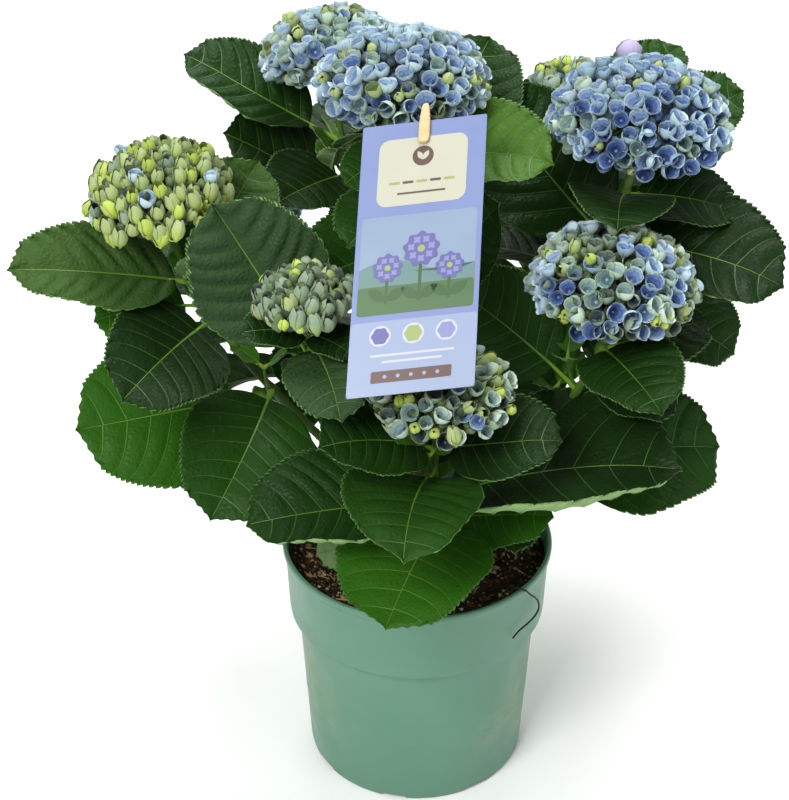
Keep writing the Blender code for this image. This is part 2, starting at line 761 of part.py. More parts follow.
def build():
    clear_scene()
    pot = make_pot()
    soil = make_soil()
    stem = make_main_stem()
    card, card_shape = make_card()
    peg = make_peg()
    make_wire()
    room = knuckle_room()

    shoots = [Shoot(name) for name in LEAVES]
    fixed = [tree_of(*card_shape)]
    for solid in (pot, soil, stem, peg):
        mesh = solid.data
        corners = [solid.matrix_world @ v.co / MM for v in mesh.vertices]
        fixed.append(tree_of(corners, [tuple(p.vertices) for p in mesh.polygons]))

    stems = {}
    heads = {}
    for shoot in shoots:
        stems[shoot.name] = tree_of(*shoot.stretch(0.0, 1.0, BOUGH_STEPS + MASS_STEPS, BOUGH_SIDES))
        if shoot.flowering:
            heads[shoot.name] = [tree_of(*piece) for piece in head_pieces(shoot)[1:]]
    every_head = [tree for trees in heads.values() for tree in trees]

    # The leaves whose face is set take their places first, from the top down, and the rest fill in.
    rows = []
    for shoot in shoots:
        for share, *leaves in LEAVES[shoot.name]:
            share = min(share, shoot.top - LEAF_ROOM / shoot.length)
            for heading, reach, lift, *more in leaves:
                face = more[0] if more else None
                petiole = more[1] if len(more) > 1 else PETIOLE_SHARE
                rows.append((shoot, share, heading, reach, lift, face, petiole))
    rows.sort(key=lambda row: (row[5] is None, -row[1]))

    grown = {shoot.name: [] for shoot in shoots}
    blades = {shoot.name: [] for shoot in shoots}
    for shoot, share, *wanted in rows:
        others = fixed + every_head
        others += [tree for name, tree in stems.items() if name != shoot.name]
        for name, trees in blades.items():
            if name != shoot.name:
                others += [pair[0] for pair in trees]
        own = [stems[shoot.name]] + [pair[1] for pair in blades[shoot.name]]
        pose = place_leaf(shoot, share, *wanted, others, own)
        if pose is None:
            continue
        root = shoot.at(share)
        grown[shoot.name].append((root, pose))
        whole = tree_of(*leaf_shape(root, *pose))
        blade = tree_of(*leaf_shape(root, *pose, first=2))
        blades[shoot.name].append((whole, blade))

    for shoot in shoots:
        limb = shoot.stretch(0.0, shoot.bare, BOUGH_STEPS, BOUGH_SIDES)
        bough = add_mesh("bough_" + shoot.name, *outward(limb))
        trim = bough.modifiers.new("trim", "BOOLEAN")
        trim.operation = "DIFFERENCE"
        trim.solver = "EXACT"
        trim.object = room
        finish(bough, "shoot", 0.6)

        begin = shoot.bare + GAP / shoot.length
        twig = add_mesh("twig", *outward(shoot.stretch(begin, shoot.top, MASS_STEPS, TWIG_SIDES)))
        pieces = [twig]
        for number, (root, pose) in enumerate(grown[shoot.name]):
            pieces.append(add_mesh(f"leaf_{number}", *outward(leaf_shape(root, *pose))))
        mass = union("leaves_" + shoot.name, pieces)
        finish(mass, "leaf", 0.5)

        if shoot.flowering:
            parts = [add_mesh("floret", *outward(piece)) for piece in head_pieces(shoot)]
            head = union("head_" + shoot.name, parts)
            finish(head, "green_head" if shoot.name in GREEN_HEADS else "blue_head", 0.6)


build()
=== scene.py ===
"""Potted mophead hydrangea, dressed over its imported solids: stems, leaves and florets grown by the
same rule as the solids and carried on to teeth, veins and sepals, in a nursery pot of soil, with a
picture card on a small peg.

Lengths are millimetres and angles are degrees until a mesh is made, where MM turns them to metres.
The plant stands on the pot's flat underside at the origin, +Z up, with its card to the -Y side.
"""

import math

import bpy
import numpy as np
from mathutils import Matrix, Vector
from mathutils.kdtree import KDTree


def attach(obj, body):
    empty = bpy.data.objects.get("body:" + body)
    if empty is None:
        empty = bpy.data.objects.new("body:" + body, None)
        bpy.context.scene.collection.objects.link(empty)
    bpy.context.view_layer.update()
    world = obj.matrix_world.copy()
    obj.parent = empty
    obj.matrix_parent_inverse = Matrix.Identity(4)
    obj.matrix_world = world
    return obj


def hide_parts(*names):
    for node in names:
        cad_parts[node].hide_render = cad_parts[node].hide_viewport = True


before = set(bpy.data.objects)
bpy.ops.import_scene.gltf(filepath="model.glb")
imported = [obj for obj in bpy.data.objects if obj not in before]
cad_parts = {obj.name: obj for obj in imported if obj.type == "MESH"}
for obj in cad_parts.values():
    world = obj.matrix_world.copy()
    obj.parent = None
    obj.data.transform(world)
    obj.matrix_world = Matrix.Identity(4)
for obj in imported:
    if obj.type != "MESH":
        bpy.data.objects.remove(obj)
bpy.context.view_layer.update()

MM = 0.001
UP = np.array((0.0, 0.0, 1.0))
SEED = 41
MOST_TRIANGLES = 185000

# Pot
POT_SEGMENTS = 192
POT_HEIGHT = 179.0
BASE_RADIUS = 78.5
STEP_HEIGHT = 119.0
STEP_RISE = 6.0
BODY_TOP_RADIUS = 85.0
COLLAR_FOOT_RADIUS = 91.4
COLLAR_TOP_RADIUS = 93.4
RIM_RADIUS = 95.4
WALL = 1.8
FLOOR = 3.0
NOTCHES = 8
NOTCH_WIDTH = 22.0
NOTCH_RISE = 3.6
NOTCH_TURN = 0.72
# The outside's corners, each run beside a radius and a height of its own.
POT_OUTSIDE = (
    (BASE_RADIUS, 0.0, (-12, 0.9), (-10, 0), (-2.6, 0), (-1.2, 0.5), (-0.4, 1.8), (0.1, 4.5), (0.4, 8)),
    (BASE_RADIUS, 50.0, (2.6, -2), (2.9, 2), (3.1, 2.8), (3, 3.6), (4.6, 34)),
    (BODY_TOP_RADIUS, STEP_HEIGHT, (-0.3, -6), (0.2, -1), (1.2, 1.2), (3.2, 3)),
    (COLLAR_FOOT_RADIUS, STEP_HEIGHT, (-1.3, 4.4), (-0.3, 6), (0, 8.5)),
    (COLLAR_TOP_RADIUS, POT_HEIGHT, (-0.2, -8), (0.4, -5.6)),
    (RIM_RADIUS, POT_HEIGHT, (-0.5, -4.6), (-0.1, -3.4), (0, -2.2), (-0.2, -0.9), (-0.9, -0.1)),
)
# Pale patches by heading: at -8 and 190 they lie on the pot's right and left sides and paint the
# paler sheen of light grazing them; at 100, behind, a watering mark. Scuffs: the middle of each,
# how far it reaches, and its colour.
POT_SHEEN_AND_MARKS = (-8, 100, 190)
POT_SCUFFS = (
    ((52.3, -62.2, 52.0), 20, (160, 160, 130)),
    ((64.0, -50.0, 60.0), 17, (156, 156, 124)),
    ((-72.9, -55.0, 124.0), 14, (96, 86, 56)),
    ((-77.0, -30.0, 96.0), 26, (136, 134, 96)),
    ((20.0, 82.0, 60.0), 20, (150, 152, 120)),
)

# Soil
SOIL_LEVEL = 165.0
SOIL_LUMP = 2.2
SOIL_SIDES = 260
SOIL_RINGS = 64
STEM_PAD = 22.0
CRUMBS = 1850
CRUMB_MIX = ("peat", "peat", "dark", "brown", "brown", "brown", "tan", "tan", "straw", "perlite")
# Peat and dark crumbs left of this x, in millimetres, are made tan instead.
TAN_SIDE_X = -25.0
STRAWS = 90

# Woody foot
KNUCKLE_HEIGHT = 190.0
KNUCKLE_RADIUS = 16.0
FLARE_RADIUS = 18.0
WAIST_RADIUS = 12.5
FOOT_ROWS = 46
FOOT_SIDES = 72

# Shoots
GAP = 0.3
FOOT_RADIUS = 3.3
TIP_RADIUS = 2.3
NODE_SWELL = 0.9
PEDUNCLE_RADIUS = 2.3
RIPE_BELOW = 0.62
WOOD_BELOW = 0.22

# Leaves
PETIOLE_SHARE = 0.10
LEAF_BREADTH = 0.87
LEAF_FOLD = 0.20
LEAF_SAG = 0.15
STRAIGHT_LIFT = 34.0
ROOT_OFFSET = 0.5
LEAF_ROOM = 5.0
FACE_SPREAD = 420.0
LIFT_TRIES = (0, 4, -4, 8, -8, 13, -13, 18, -18, 24, -24)
TURN_TRIES = (0, 7, -7, 14, -14)
SIZE_TRIES = (1.0, 0.9)
TIP_MATCH = 0.25
BIG_LEAF = 80.0
USUAL_REACH = 110.0
COLUMNS = (0.0, 0.06, 0.19, 0.34, 0.49, 0.64, 0.79, 0.92)
VEIN_SWEEP = 0.33
VEIN_ARCH = 0.26
QUILT = 1.5
SHEET = 0.22
MARGIN = 0.8
PUCKERED = 2.35  # a leaf quilted deeper than this hides its side veins in the creases
EVEN_CURL = (0.012, 0.012)
CURLED = 0.04
TOOTH_DEPTH = 1.65
TOOTH_OUT = (0.0, 0.62, 0.95, 1.0)
TOOTH_FORWARD = (0.0, 0.0, 0.08, 0.24)
FLAT_SHARE = 0.70
DRIP_START = 0.91
LEAF_ROOM_LEFT = 6000
AXIL_ROOM_LEFT = 12000

# Flower heads
DOME_TOP = 0.66
DOME_BELOW = 0.40
LOWEST = -0.45
FILL_PER_AREA = 0.082
# The layers of small buds: how far out of the head's middle, their share of the count, their size.
FILL_LAYERS = ((0.74, 1.0, 1.0), (0.5, 0.3, 1.7))
PINK_HEAD = "right_top"
PINK_WAY = (-0.075, 0.44, 0.89)
PINK_DEPTH = 10.5
CUPS_PER_AREA = 0.0525
BUDS_PER_AREA = 0.060
CUP_COLUMNS = 5
OVERLAP = 0.55
CUP_ROWS = (0.05, 0.34, 0.62, 0.86, 1.0)
SEPAL_SPAN = 58.0
SEPAL_THICK = 0.34
CLOSED = 3.0
RAYS = 9
HEAD_ROOM_LEFT = 70000

# Card, peg and wire
CARD_TOP = np.array((2.2, -40.9, 510.5))
CARD_FOOT = np.array((-7.2, -160.6, 395.4))
CARD_SIDE = np.array((0.991, 0.0, 0.13))
CARD_WIDTH = 73.0
CARD_SKEW = 0.14
CARD_THICKNESS = 0.8
CARD_CORNER = 1.2
PRINT_LAYER = 0.05
PRINT_GAP = 0.02
PEG_WIDTH = 6.5
PEG_LENGTH = 26.0
PEG_DEPTH = 7.0
# A corner of a peg leg's section: its share of the half width and of the thickness.
PEG_SECTION = ((-1, 0.15), (-0.86, 0), (0.86, 0), (1, 0.15), (1, 0.82), (0.86, 1), (-0.86, 1), (-1, 0.82))

# Camera
CAMERA_PLACE = (-16.0, -1034.0, 930.0)
CAMERA_PITCH = 58.3
CAMERA_LENS = 81.0
SENSOR = 36.0

# Flowering shoots: where each leaves the knuckle (heading, lift), the middle of its head, the head's
# half width, the way the head faces (heading, lift), and the share of the shoot that is bare bough.
FLOWERING = {
    "left": (185, 48, (-163, -10, 453), 52, 215, 80, 0.40),
    "left_bud": (238, 48, (-70, -90, 421), 34, 240, 80, 0.45),
    "top_left": (122, 48, (-58, 112, 495), 51, 150, 84, 0.42),
    "top": (270, 88, (-11, 20, 511), 60, 270, 88, 0.40),
    "back_right": (55, 48, (104, 112, 470), 36, 60, 80, 0.45),
    "right_top": (5, 48, (138, 20, 485), 63, 330, 85, 0.48),
    "right": (318, 48, (118, -60, 412), 57, 300, 85, 0.45),
    "front": (258, 12, (11, -120, 372), 50, 270, 82, 0.50),
    "back_left": (130, 12, (-125, 150, 352), 44, 128, 60, 0.42),
    "back": (85, 12, (25, 172, 370), 42, 82, 62, 0.42),
    "back_side": (25, 12, (150, 140, 345), 44, 40, 58, 0.42),
}

# Leafy shoots with no flower: foot heading and lift, tip, the way the tip points, bare share.
LEAFY = {
    "low_left": (200, 12, (-112, 14, 292), 190, 30, 0.50),
    "low_front": (293, 12, (16, -86, 256), 285, 35, 0.50),
    "low_right": (331, 12, (80, -75, 290), 330, 45, 0.50),
    "low_back": (168, 12, (-95, 45, 320), 160, 50, 0.42),
}

# Leaves: how far up the shoot, then heading, reach and lift of each leaf that opens there, where it
# matters the share by which its face turns from straight up to the front, and for a leaf on a long
# petiole the petiole's share of the reach.
LEAVES = {
    "left": (
        (0.47, (251, 112, -19, 0.7)),
        (0.70, (231, 116, 0, 0.6, 0.20), (55, 80, 20, 0.4)),
        (0.74, (140, 95, 5)),
        (0.81, (203, 122, 16, 0.35), (45, 90, 48, 0.6)),
    ),
    "left_bud": (
        (0.60, (350, 65, 5), (110, 75, 5)),
        (0.76, (152, 128, 54, 0.6, 0.22), (300, 45, -5)),
        (0.88, (285, 72, -8, 0.4)),
        (0.94, (205, 45, 15, 0.3), (315, 40, 0)),
    ),
    "top_left": (
        (0.55, (150, 95, 0), (330, 70, 5)),
        (0.72, (196, 104, 36, 0.3), (20, 85, 10)),
        (0.78, (238, 84, 8, 0.4), (75, 110, 15)),
        (0.86, (170, 118, 29, 0.25, 0.20), (340, 70, 15)),
    ),
    "top": (
        (0.52, (315, 85, -8), (135, 95, 13)),
        (0.60, (330, 96, 40, 0.5, 0.2)),
        (0.68, (225, 92, 5, 0.4), (70, 95, 5)),
        (0.79, (57, 132, 38, 0.2, 0.2), (240, 70, 0, 0.3)),
        (0.90, (329, 108, 12, 0.35), (220, 48, -5, 0.4)),
    ),
    "back_right": (
        (0.60, (12, 110, -10), (200, 70, 10)),
        (0.76, (110, 115, 5), (290, 70, 0)),
        (0.84, (11, 138, 25, 0.4, 0.36), (175, 85, 40, 0.4)),
        (0.88, (38, 124, 27, 0.3, 0.32), (250, 50, 10, 0.3)),
    ),
    "right_top": (
        (0.69, (335, 104, -14, 0.35, 0.24), (165, 85, 10)),
        (0.78, (341, 126, 1, 0.35), (148, 126, 46, 0.5)),
        (0.87, (60, 90, -10)),
        (0.93, (260, 88, 12, 0.3), (350, 72, -5, 0.3)),
    ),
    "right": (
        (0.62, (125, 80, 25)),
        (0.72, (165, 108, 55, 0.6, 0.2)),
        (0.78, (50, 80, 25, 0.4), (330, 62, -8, 0.3)),
        (0.88, (20, 75, 5, 0.3)),
        (0.94, (290, 84, 0, 0.35), (95, 70, 30, 0.5)),
    ),
    "front": (
        (0.60, (350, 166, 16, 0.12), (198, 116, 4, 0.2)),
        (0.75, (260, 104, 5, 0.25), (80, 60, 15)),
        (0.86, (208, 84, 22, 0.3), (345, 80, 15, 0.3)),
    ),
    "back_left": (
        (0.56, (190, 115, -14), (60, 115, -5)),
        (0.74, (130, 125, -5), (290, 80, 15)),
        (0.88, (215, 95, 10), (40, 95, 0)),
    ),
    "back": (
        (0.56, (150, 115, 0), (340, 105, 0)),
        (0.74, (75, 125, -8), (245, 75, 15)),
        (0.88, (160, 95, 5), (340, 95, 5)),
    ),
    "back_side": (
        (0.56, (115, 115, -10), (325, 100, -8)),
        (0.74, (35, 125, -8), (215, 80, 10)),
        (0.88, (130, 95, 5), (305, 85, 5)),
    ),
    "low_left": ((0.95, (206, 136, 6, 0.6, 0.18)),),
    "low_front": ((0.66, (35, 55, 10)), (0.95, (250, 108, -6, 0.1), (340, 76, 15, 0.3))),
    "low_right": (
        (0.68, (50, 95, -5), (270, 55, -10)),
        (0.95, (7, 122, -3, 0.4), (134, 55, 16)),
    ),
    "low_back": ((0.60, (90, 105, 0)), (0.95, (165, 115, -18), (330, 55, 10))),
}

# The greens dealt out to most leaves, and the leaves with a look of their own, by shoot and number in
# its rows: the green, how strongly the leaf is quilted and how broad it is beside the rest, and where
# it isn't even, the curl of its margin on each side (1/mm, up where positive).
GREENS = ("deep", "dark", "dark", "mid", "mid")
SPECIAL = {
    "left": {
        0: ("mid", 0.9, 1.02, 0.012, -0.01),
        # Painted shade: this leaf, in the shade of the left head, takes the deepest green.
        1: ("deep", 0.9, 1.04, 0.01, 0.015),
        4: ("olive", 1.7, 0.74, 0.02, 0.02),
        5: ("olive", 1.2, 1.0, 0.03, 0.02),
    },
    "left_bud": {2: ("grey", 2.1, 1.05, 0.01, 0.012), 4: ("grey", 1.6, 1.0, 0.02, -0.02)},
    "low_left": {0: ("fresh", 1.0, 1.1, 0.012, -0.008)},
    "front": {
        0: ("deep", 0.9, 1.0, 0.008, 0.074),
        1: ("dark", 1.3, 1.0, 0.10, 0.012),
        2: ("mid", 1.2, 1.12, 0.07, 0.03),
        4: ("dark", 1.3, 1.0),
        5: ("deep", 1.0, 1.08, 0.012, 0.02),
    },
    "low_front": {1: ("fresh", 0.7, 1.2, 0.01, 0.012), 2: ("fresh", 0.9, 1.1)},
    "low_right": {2: ("mid", 1.0, 1.05, 0.012, 0.01)},
    "right": {3: ("deep", 1.0, 1.1, 0.012, 0.03), 5: ("dark", 1.5, 1.0)},
    "right_top": {
        2: ("deep", 1.2, 1.0, 0.012, 0.05),
        5: ("deep", 1.0, 1.0),
        6: ("deep", 1.0, 1.0),
    },
    "top": {7: ("pale", 1.4, 0.92, 0.03, 0.05)},
    "top_left": {
        2: ("deep", 1.0, 1.0),
        4: ("deep", 1.0, 1.0),
        6: ("dark", 1.3, 0.86, 0.09, 0.012),
    },
    "back_left": {4: ("fresh", 1.0, 1.12)},
    "back_right": {4: ("mid", 1.2, 0.86), 6: ("mid", 1.0, 0.72)},
    "low_back": {1: ("mid", 1.0, 0.76)},
}
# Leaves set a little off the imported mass's own, to where the photograph has them: (turn, lift, size).
NUDGES = {
    ("left", 1): (14, 0, 0.97),
    ("low_left", 0): (5, 0, 1.0),
    ("top_left", 6): (0, 3, 1.03),
    ("right_top", 2): (-12, 0, 0.95),
    ("low_right", 2): (0, 6, 0.98),
}
# Small leaves between the others: the shoot, its share, the green, and the leaf's pose, which is its
# heading, reach, lift, face and petiole. The basal leaf lies out from the woody foot over the soil.
YOUNG_LEAVES = (
    ("left", 0.74, "fresh", (210, 78, 8, 0.5, 0.2)),
    ("low_left", 0.62, "mid", (112, 76, 4, 0.4, 0.12)),
)
BASAL_LEAF = (191, 60, -10, 0.5, 0.3)
BASAL_ROOT = np.array((-13.0, -9.0, 188.0))

# Colours of the blades, with their roughness and the depth of their net of veins where those aren't
# the usual ones, and then of the veins and margins.
BLADES = {
    "deep": ((20, 42, 12),),
    "dark": ((24, 52, 13),),
    "mid": ((30, 64, 14),),
    "fresh": ((40, 86, 16),),
    "olive": ((52, 80, 32), 0.5, 0.9),
    "grey": ((44, 66, 36), 0.52, 1.0),
    "pale": ((62, 96, 30),),
    "young": ((60, 104, 28),),
    "under": ((122, 152, 98), 0.6),
}
VEINS = {
    "margin": (66, 104, 36),
    "vein": (64, 105, 36),
    "midrib": (92, 132, 38),
    "rib_under": (150, 176, 118),
}
STALKS = {
    "stem_ripe": (46, 66, 20),
    "stem_green": (76, 112, 40),
    "petiole": (120, 160, 52),
    "cyme": (134, 162, 88),
    "lenticel": (58, 44, 32),
}
SOILS = {
    "peat": (46, 34, 26),
    "dark": (32, 24, 20),
    "brown": (92, 66, 44),
    "tan": (158, 124, 84),
    "straw": (176, 148, 98),
    "perlite": (206, 200, 186),
}
INKS = {
    "ground": (108, 122, 164),
    "edge": (172, 172, 166),
    "cream": (172, 171, 154),
    "brown": (84, 62, 56),
    "sky": (120, 138, 160),
    "far": (90, 120, 118),
    "near": (64, 96, 56),
    "leaf": (50, 82, 44),
    "bloom": (86, 86, 140),
    "bloom_light": (118, 124, 166),
    "lime": (134, 148, 90),
    "foot": (132, 144, 172),
    "white": (172, 174, 182),
}

# Sepal colours of each sort of floret: the inside from its depth to its rim, darkest at the depth as
# painted shade down in the cup, then the outside's upper half and its foot.
FAMILIES = {
    "strong": (
        (46, 63, 108), (72, 96, 146), (110, 136, 180), (178, 200, 210), (150, 178, 194), (148, 178, 168)
    ),
    "soft": (
        (76, 96, 140), (108, 132, 168), (144, 168, 196), (200, 216, 220), (174, 198, 206), (168, 198, 174)
    ),
    "mint": (
        (84, 108, 122), (120, 146, 146), (154, 180, 168), (202, 216, 200), (176, 198, 180), (178, 200, 146)
    ),
    "grey": (
        (40, 50, 72), (66, 82, 92), (98, 120, 104), (154, 170, 148), (128, 148, 122), (144, 168, 94)
    ),
    "chalk": (
        (52, 66, 48), (92, 112, 70), (132, 152, 94), (164, 180, 136), (152, 169, 112), (160, 180, 72)
    ),
    "lime": (
        (100, 124, 42), (132, 156, 50), (154, 176, 68), (174, 190, 100), (168, 186, 86), (156, 178, 54)
    ),
    "pink": (
        (150, 136, 176), (170, 156, 196), (172, 162, 194), (176, 166, 196), (168, 156, 190), (156, 164, 188)
    ),
}
FAMILY_PARTS = ("deep", "mid", "light", "rim", "outer", "foot", "waist")

# What each sort of head is made of: shares of each (sepal colours, shape of floret).
MIXES = {
    "blue": (
        ("strong", "cup", 0.40), ("soft", "cup", 0.16), ("strong", "goblet", 0.12),
        ("soft", "goblet", 0.12), ("mint", "goblet", 0.16), ("chalk", "bud", 0.04),
    ),
    "pale": (
        ("soft", "cup", 0.34), ("strong", "cup", 0.14), ("soft", "goblet", 0.16),
        ("mint", "goblet", 0.20), ("chalk", "goblet", 0.08), ("chalk", "bud", 0.08),
    ),
    "haze": (
        ("soft", "cup", 0.34), ("soft", "goblet", 0.16), ("mint", "goblet", 0.26),
        ("chalk", "goblet", 0.16), ("chalk", "bud", 0.08),
    ),
    "mixed": (
        ("soft", "cup", 0.22), ("strong", "cup", 0.14), ("mint", "goblet", 0.18), ("grey", "goblet", 0.22),
        ("mint", "cup", 0.08), ("chalk", "tulip", 0.08), ("lime", "bud", 0.08),
    ),
    "early": (
        ("mint", "cup", 0.22), ("soft", "cup", 0.12), ("grey", "goblet", 0.16),
        ("mint", "goblet", 0.16), ("chalk", "tulip", 0.14), ("lime", "bud", 0.20),
    ),
    "green": (
        ("mint", "goblet", 0.28), ("chalk", "tulip", 0.38), ("lime", "bud", 0.18), ("grey", "tulip", 0.16),
    ),
    "lime": (
        ("chalk", "tulip", 0.50), ("lime", "tulip", 0.24), ("grey", "tulip", 0.18), ("soft", "goblet", 0.08),
    ),
    "buds": (("grey", "tulip", 0.60), ("chalk", "tulip", 0.20), ("lime", "bud", 0.20)),
}
# The habit of each sort: how far its florets turn from square off the dome to straight up, how many
# there are to an area, their size, and the sepal colours of the small buds under them.
HABITS = {
    "blue": (0.26, CUPS_PER_AREA, 1.0, ("strong", "soft", "grey", "mint")),
    "pale": (0.3, CUPS_PER_AREA, 1.0, ("soft", "mint", "grey")),
    "haze": (0.3, CUPS_PER_AREA, 1.0, ("soft", "mint", "chalk")),
    "mixed": (0.34, CUPS_PER_AREA, 1.0, ("chalk", "grey")),
    "early": (0.42, CUPS_PER_AREA, 1.0, ("chalk",)),
    "green": (0.5, CUPS_PER_AREA, 1.0, ("chalk", "mint")),
    "lime": (0.8, BUDS_PER_AREA, 1.0, ("chalk",)),
    "buds": (0.8, BUDS_PER_AREA * 0.8, 1.14, ("chalk",)),
}
# Each head: its sort, how wide and how high its dome is beside its solid, and how far below its
# middle its florets reach.
HEADS = {
    "left": ("lime", 0.89, 0.88, -0.3),
    "left_bud": ("buds", 0.96, 0.84, -0.12),
    "top_left": ("haze", 1.0, 1.0, LOWEST),
    "top": ("pale", 0.96, 0.92, LOWEST),
    "back_right": ("green", 1.0, 1.0, LOWEST),
    "right_top": ("blue", 0.97, 0.98, LOWEST),
    "right": ("mixed", 0.98, 0.94, LOWEST),
    "front": ("early", 0.98, 0.78, -0.1),
    "back_left": ("pale", 1.0, 1.0, LOWEST),
    "back": ("blue", 1.0, 1.0, LOWEST),
    "back_side": ("mixed", 1.0, 1.0, LOWEST),
}
# The shape of each sort of floret: rim radius, depth, how far round its side is drawn in, how much
# its rim flares, and how far its sepals' corners are cut back to a point.
SHAPES = {
    "cup": (5.35, 8.8, 1.78, 0.06, 0.12),
    "goblet": (4.7, 9.6, 2.14, 0.08, 0.16),
    "tulip": (4.3, 13.6, 2.8, 0.16, 0.14),
    "bud": (3.5, 7.8, 2.95, 0.0, 0.05),
    "ball": (8.4, 15.5, 3.08, 0.0, 0.0),
}


# ---- materials


def rgb(colour):
    """The linear colour of an 8-bit screen colour."""
    shares = [value / 255 for value in colour]
    made = [s / 12.92 if s <= 0.04045 else ((s + 0.055) / 1.055) ** 2.4 for s in shares]
    return (*made, 1.0)


class Paint:
    """One node-based material: a plain shader, with its textures laid in the row frame."""

    def __init__(self, name, colour, roughness, specular):
        self.material = bpy.data.materials.new(name)
        self.material.use_nodes = True
        self.tree = self.material.node_tree
        self.shader = self.tree.nodes["Principled BSDF"]
        self.feed(self.shader, {"Base Color": rgb(colour), "Roughness": roughness})
        self.feed(self.shader, {"Specular IOR Level": specular})
        self.place = self.node("ShaderNodeTexCoord", {}).outputs["Object"]

    def feed(self, node, sockets):
        """Gives sockets of a node, each by name or number, a plain value or another node's output."""
        for key, value in sockets.items():
            if isinstance(value, bpy.types.NodeSocket):
                self.tree.links.new(value, node.inputs[key])
            else:
                node.inputs[key].default_value = value

    def node(self, kind, sockets, **values):
        made = self.tree.nodes.new(kind)
        for key, value in values.items():
            setattr(made, key, value)
        self.feed(made, sockets)
        return made

    def noise(self, grain, detail=3.0, rough=0.5, stretch=None):
        """Noise with features about grain millimetres across."""
        place = self.place
        if stretch:
            place = self.node("ShaderNodeMapping", {"Vector": place, "Scale": stretch}).outputs["Vector"]
        sockets = {"Vector": place, "Scale": 1 / (grain * MM), "Detail": detail, "Roughness": rough}
        return self.node("ShaderNodeTexNoise", sockets).outputs["Fac"]

    def cells(self, grain):
        """The distance to the edges of cells about grain millimetres across."""
        sockets = {"Vector": self.place, "Scale": 1 / (grain * MM)}
        return self.node("ShaderNodeTexVoronoi", sockets, feature="DISTANCE_TO_EDGE").outputs["Distance"]

    def span(self, source, low, high, new_low, new_high):
        """The source with low to high carried to new_low to new_high."""
        ends = {"From Min": low, "From Max": high, "To Min": new_low, "To Max": new_high}
        return self.node("ShaderNodeMapRange", {"Value": source, **ends}).outputs["Result"]

    def patch(self, centre, reach, source, low, high, most):
        """A mask that fades out with distance from a point, broken up by the source."""
        spot = [float(value) * MM for value in centre]
        apart = self.node("ShaderNodeVectorMath", {0: self.place, 1: spot}, operation="DISTANCE")
        near = self.span(apart.outputs["Value"], reach * MM * 0.45, reach * MM, most, 0.0)
        masks = {0: near, 1: self.span(source, low, high, 0.0, 1.0)}
        return self.node("ShaderNodeMath", masks, operation="MULTIPLY").outputs["Value"]

    def gloss(self, source, low, high):
        """Roughness that varies with the source between two values."""
        self.feed(self.shader, {"Roughness": self.span(source, 0.3, 0.7, low, high)})

    def relief(self, source, height):
        """A bump of height millimetres from the source, over any laid before it."""
        made = self.node("ShaderNodeBump", {"Distance": height * MM, "Strength": 1.0, "Height": source})
        before = self.shader.inputs["Normal"]
        if before.is_linked:
            self.feed(made, {"Normal": before.links[0].from_socket})
        self.feed(self.shader, {"Normal": made.outputs["Normal"]})

    def stain(self, mask, colour):
        """Lays a second colour over the base where the mask is near one."""
        base = self.shader.inputs["Base Color"]
        under = base.links[0].from_socket if base.is_linked else base.default_value
        mix = self.node("ShaderNodeMix", {}, data_type="RGBA")
        self.feed(mix, {"A": under, "B": rgb(colour), "Factor": mask})
        self.feed(self.shader, {"Base Color": mix.outputs["Result"]})


# Each kind of surface: roughness, specular, its gloss as (noise, low, high), and its relief as
# (noise, height). A noise is its grain, detail, roughness and stretch.
SURFACES = {
    "vein": (0.45, 0.5, ((3,), 0.38, 0.55), ((0.8, 2), 0.1)),
    "sepal": (0.62, 0.3, ((4,), 0.55, 0.72), ((1.2, 3), 0.12)),
    "stalk": (0.6, 0.15, ((3,), 0.52, 0.72), ((1.6, 3, 0.5, (1, 1, 0.25)), 0.35)),
    "bark": (0.85, 0.25, ((4,), 0.75, 0.95), ((2.5, 6, 0.65, (1, 1, 0.35)), 1.0)),
    "crumb": (0.95, 0.2, ((3,), 0.85, 1.0), ((1.4, 5, 0.7), 0.8)),
    "card": (0.36, 0.5, ((25,), 0.30, 0.42), ((0.8, 2), 0.02)),
    "paper": (0.9, 0.2, ((40,), 0.85, 0.95)),
    "steel": (0.32, 0.5, ((3,), 0.26, 0.42)),
    "wood": (0.6, 0.35, ((5,), 0.52, 0.7), ((3, 4, 0.6, (3, 3, 0.4)), 0.25)),
    "plastic": (0.42, 0.45, ((22, 4), 0.34, 0.52), ((1, 2), 0.05), ((16, 2, 0.5, (1, 1, 0.4)), 0.25)),
}


def finished(name, colour, roughness, specular, gloss, *reliefs):
    """A paint with its gloss and reliefs, given as in SURFACES."""
    made = Paint(name, colour, roughness, specular)
    noise, low, high = gloss
    made.gloss(made.noise(*noise), low, high)
    for noise, height in reliefs:
        made.relief(made.noise(*noise), height)
    return made


def surfaces(kind, prefix, colours):
    """A material of one kind for each named colour."""
    return {key: finished(prefix + key, colour, *SURFACES[kind]).material for key, colour in colours.items()}


def leaf_paint(name, colour, roughness=0.42, net=0.6):
    """A blade: fine mesh of small veins pressed into it, and a satin gloss that varies."""
    gloss = ((14, 2), roughness - 0.08, roughness + 0.12)
    made = finished(name, colour, roughness, 0.11, gloss, ((9, 2), 0.9))
    made.relief(made.cells(3.6), net)
    made.relief(made.noise(1.1, 2), 0.12)
    return made.material


def leaf_materials():
    made = {key: leaf_paint("leaf_" + key, *finish) for key, finish in BLADES.items()}
    return {**made, **surfaces("vein", "leaf_", VEINS)}


def sepal_materials():
    """Dull and faintly veined sepals of every family, with a soft bloom at their edges."""
    made = {}
    for family, colours in FAMILIES.items():
        waist = tuple((a + b) // 2 for a, b in zip(colours[4], colours[5]))
        for part, colour in zip(FAMILY_PARTS, (*colours, waist)):
            paint = finished(f"sepal_{family}_{part}", colour, *SURFACES["sepal"])
            paint.feed(paint.shader, {"Sheen Weight": 0.15, "Sheen Roughness": 0.4})
            made[f"{family}_{part}"] = paint.material
    return made


# ---- meshes


def new_object(name, data):
    made = bpy.data.objects.new(name, data)
    bpy.context.scene.collection.objects.link(made)
    return made


